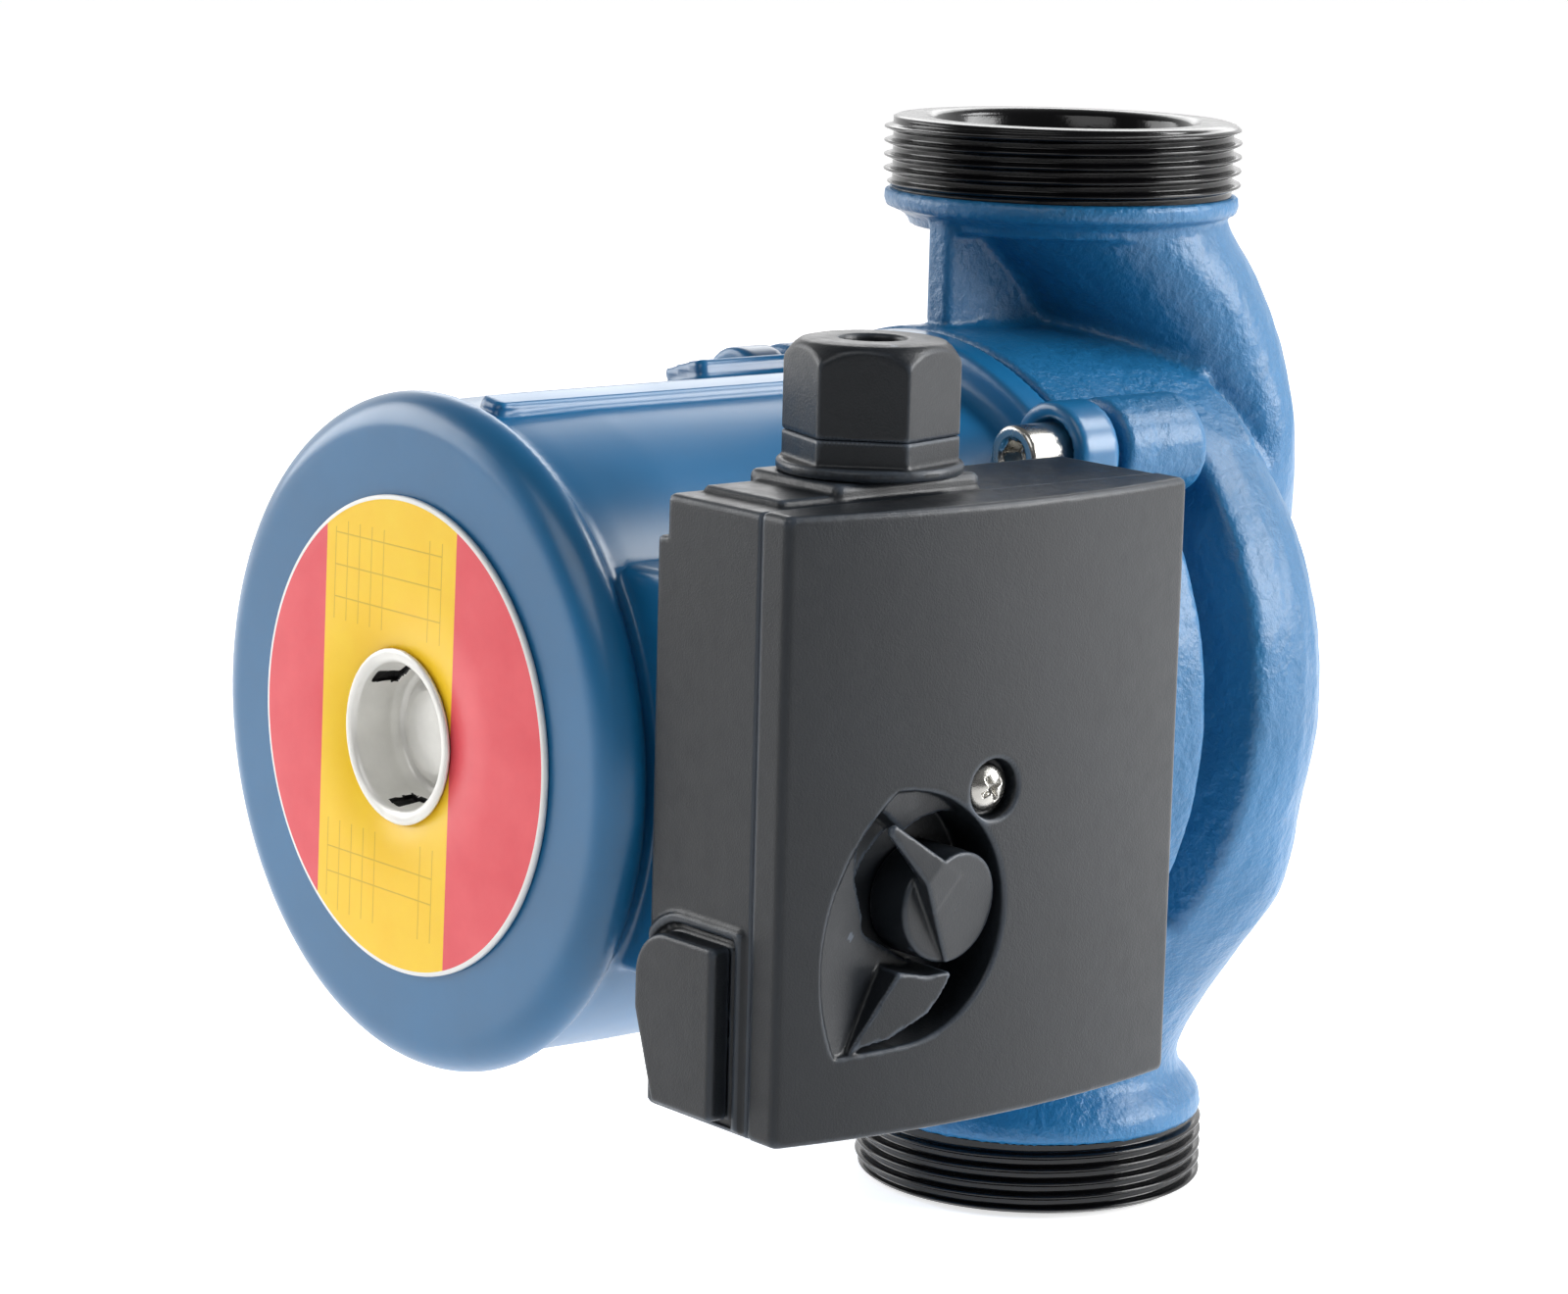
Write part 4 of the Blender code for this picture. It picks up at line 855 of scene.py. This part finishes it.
def gland_nut(P):
    x, y, z = P.T
    u, v = x - GLAND_X, y - GLAND_Y
    r = np.hypot(u, v)
    d = soft_max(hexagon(u, v, GLAND_AF, FLAT, 0.4), 142.7 - z, 0.2)
    dome = polygon(r, z, [(0, 140), (15.0, 140), (15.0, 150.3), (12.9, 153.2), (11.3, 155.2), (10.4, 155.9), (9.0, 156.2), (0, 156.2)])
    d = soft_max(d, dome, 0.4)
    d = soft_max(d, -bar(r, z, 9.3, 140, 151.9), 0.3)
    return soft_max(d, -bar(r, z, 4.7, 140, 170), 0.8)


def gland_body(P):
    x, y, z = P.T
    u, v = x - GLAND_X, y - GLAND_Y
    r = np.hypot(u, v)
    d = soft_max(hexagon(u, v, GLAND_AF, FLAT, 0.4), rect(r, z, -13.4, 13.4, 137.3, 142.6, 0.4), 0.3)
    d = soft_min(d, bar(r, z, 13.5, 137.1, 138.8, 0.6), 0.4)
    d = np.minimum(d, np.minimum(bar(r, z, 7.4, 126.0, 140, 0.4), bar(r, z, 8.8, 139.0, 148.8, 0.4)))
    return soft_max(d, -np.minimum(bar(r, z, 4.6, 120, 144), bar(r, z, 7.2, 143.0, 160)), 0.4)


dress(skin("gland_cap_nut", gland_nut, (54, -112, 142.6), (82, -84.5, 156.4), 0.4), "gland_cap", "black_plastic", "gland_nut")
dress(skin("gland_base", gland_body, (54, -112, 125.8), (82, -84.5, 149), 0.46), "pump_body", "black_plastic", "gland_body")

# ------------------------------------------------------------------ CAD nodes that show as they are
SLOT_OF = {}
for name, obj in NODES.items():
    slot = obj.data.materials[0].name.split(".")[0] if obj.data.materials else "steel"
    SLOT_OF[name] = slot if slot in finish else "steel"
for name, obj in NODES.items():
    obj.data.materials.clear()
    obj.data.materials.append(finish[SLOT_OF[name]].mat)

# ------------------------------------------------------------------ floor, light and camera
floor_mesh = bpy.data.meshes.new("floor")
bm = bmesh.new()
bmesh.ops.create_grid(bm, x_segments=4, y_segments=4, size=9.0)
bm.to_mesh(floor_mesh)
bm.free()
floor = bpy.data.objects.new("floor", floor_mesh)
floor.location.z = -0.0004
bpy.context.scene.collection.objects.link(floor)
pale = Finish("pale_floor")
pale.colour(pale.mixed(pale.ranged(pale.noise(3.0, 2), 0.0, 1.0), (0.90, 0.90, 0.90, 1), (0.92, 0.92, 0.92, 1)))
pale.rough(0.9)
px, py, _ = pale.axes()
# painted light: the floor glows white behind the object, fading out towards the front and beyond 8.5 m, and lights the
# object and shows in its reflections
back = pale.math("ADD", pale.math("MULTIPLY", px, -0.7), pale.math("MULTIPLY", py, 0.714))
far = pale.math("SQRT", pale.math("ADD", pale.math("MULTIPLY", px, px), pale.math("MULTIPLY", py, py)))
glow = pale.math("MULTIPLY", pale.ranged(back, 0.0, 0.7, -0.22, -0.1), pale.ranged(far, 1.0, 0.0, 6.5, 8.5))
glow = pale.math("MULTIPLY", glow, pale.ranged(py, 0.0, 1.0, -0.55, -0.28))
pale.set(Emission_Color=(1.0, 1.0, 1.0, 1.0))
pale.link(glow, pale.bsdf.inputs["Emission Strength"])
floor.data.materials.append(pale.mat)

# the room: a bright wall low down behind, a darker ceiling and a dim side towards the viewer
world = bpy.data.worlds.new("studio")
bpy.context.scene.world = world
world.use_nodes = True
room = world.node_tree
sky = room.nodes["Background"]


def room_node(kind, **values):
    node = room.nodes.new(kind)
    for key, value in values.items():
        setattr(node, key, value)
    return node


def room_range(value, lo, hi, a, b):
    node = room_node("ShaderNodeMapRange")
    for key, number in (("From Min", lo), ("From Max", hi), ("To Min", a), ("To Max", b)):
        node.inputs[key].default_value = number
    room.links.new(value, node.inputs["Value"])
    return node.outputs[0]


way = room_node("ShaderNodeTexCoord").outputs["Generated"]
split = room_node("ShaderNodeSeparateXYZ")
room.links.new(way, split.inputs[0])
facing = room_node("ShaderNodeVectorMath", operation="DOT_PRODUCT")
room.links.new(way, facing.inputs[0])
facing.inputs[1].default_value = (-0.45, 0.89, 0.0)
behind = room_range(facing.outputs["Value"], -0.12, 0.6, 0.0, 1.05)
low = room_range(split.outputs[2], 0.4, 0.8, 1.0, 0.08)
wall = room_node("ShaderNodeMath", operation="MULTIPLY_ADD")
room.links.new(behind, wall.inputs[0])
room.links.new(low, wall.inputs[1])
wall.inputs[2].default_value = 0.12
sky.inputs["Color"].default_value = (1.0, 1.0, 1.0, 1.0)
room.links.new(wall.outputs[0], sky.inputs["Strength"])
bpy.context.scene.view_settings.view_transform = "Standard"


def softbox(name, at, aim, width, height, power, colour=(1, 1, 1)):
    lamp = bpy.data.lights.new(name, "AREA")
    lamp.shape = "RECTANGLE"
    lamp.size, lamp.size_y = width, height
    lamp.energy = power
    lamp.color = colour
    obj = bpy.data.objects.new(name, lamp)
    obj.location = at
    obj.rotation_euler = (Vector(aim) - Vector(at)).to_track_quat("-Z", "Y").to_euler()
    bpy.context.scene.collection.objects.link(obj)
    return obj


softbox("key", (0.95, 0.85, 0.55), (0.02, -0.05, 0.09), 0.8, 0.6, 17.0)
softbox("high", (0.4, 0.8, 1.05), (0.0, -0.05, 0.09), 0.5, 0.4, 6.5)
softbox("back", (-0.95, 0.85, 0.75), (0.0, -0.05, 0.09), 0.9, 0.6, 3.5)
softbox("strip", (0.4, -1.1, 1.1), (0.0, -0.05, 0.09), 1.0, 0.8, 4.5)
softbox("fill", (-1.25, -0.75, 0.55), (0.0, -0.05, 0.09), 1.0, 0.9, 13.0)

camera = bpy.data.cameras.new("camera")
camera.sensor_fit = "HORIZONTAL"
camera.sensor_width = 36.0
camera.lens = 4768.9 * 36.0 / 1600.0
camera.clip_start = 0.01
camera.clip_end = 60.0
yaw, pitch, roll = (math.radians(v) for v in (50.442, 10.458, 1.498))
look = Vector((-math.sin(yaw) * math.cos(pitch), math.cos(yaw) * math.cos(pitch), -math.sin(pitch)))
right = Vector((math.cos(yaw), math.sin(yaw), 0.0))
up = right.cross(look)
right, up = (math.cos(roll) * right + math.sin(roll) * up, -math.sin(roll) * right + math.cos(roll) * up)
eye = bpy.data.objects.new("camera", camera)
eye.matrix_world = Matrix((
    (right.x, up.x, -look.x, 0.57113),
    (right.y, up.y, -look.y, -0.52890),
    (right.z, up.z, -look.z, 0.23324),
    (0, 0, 0, 1),
))
bpy.context.scene.collection.objects.link(eye)
bpy.context.scene.camera = eye
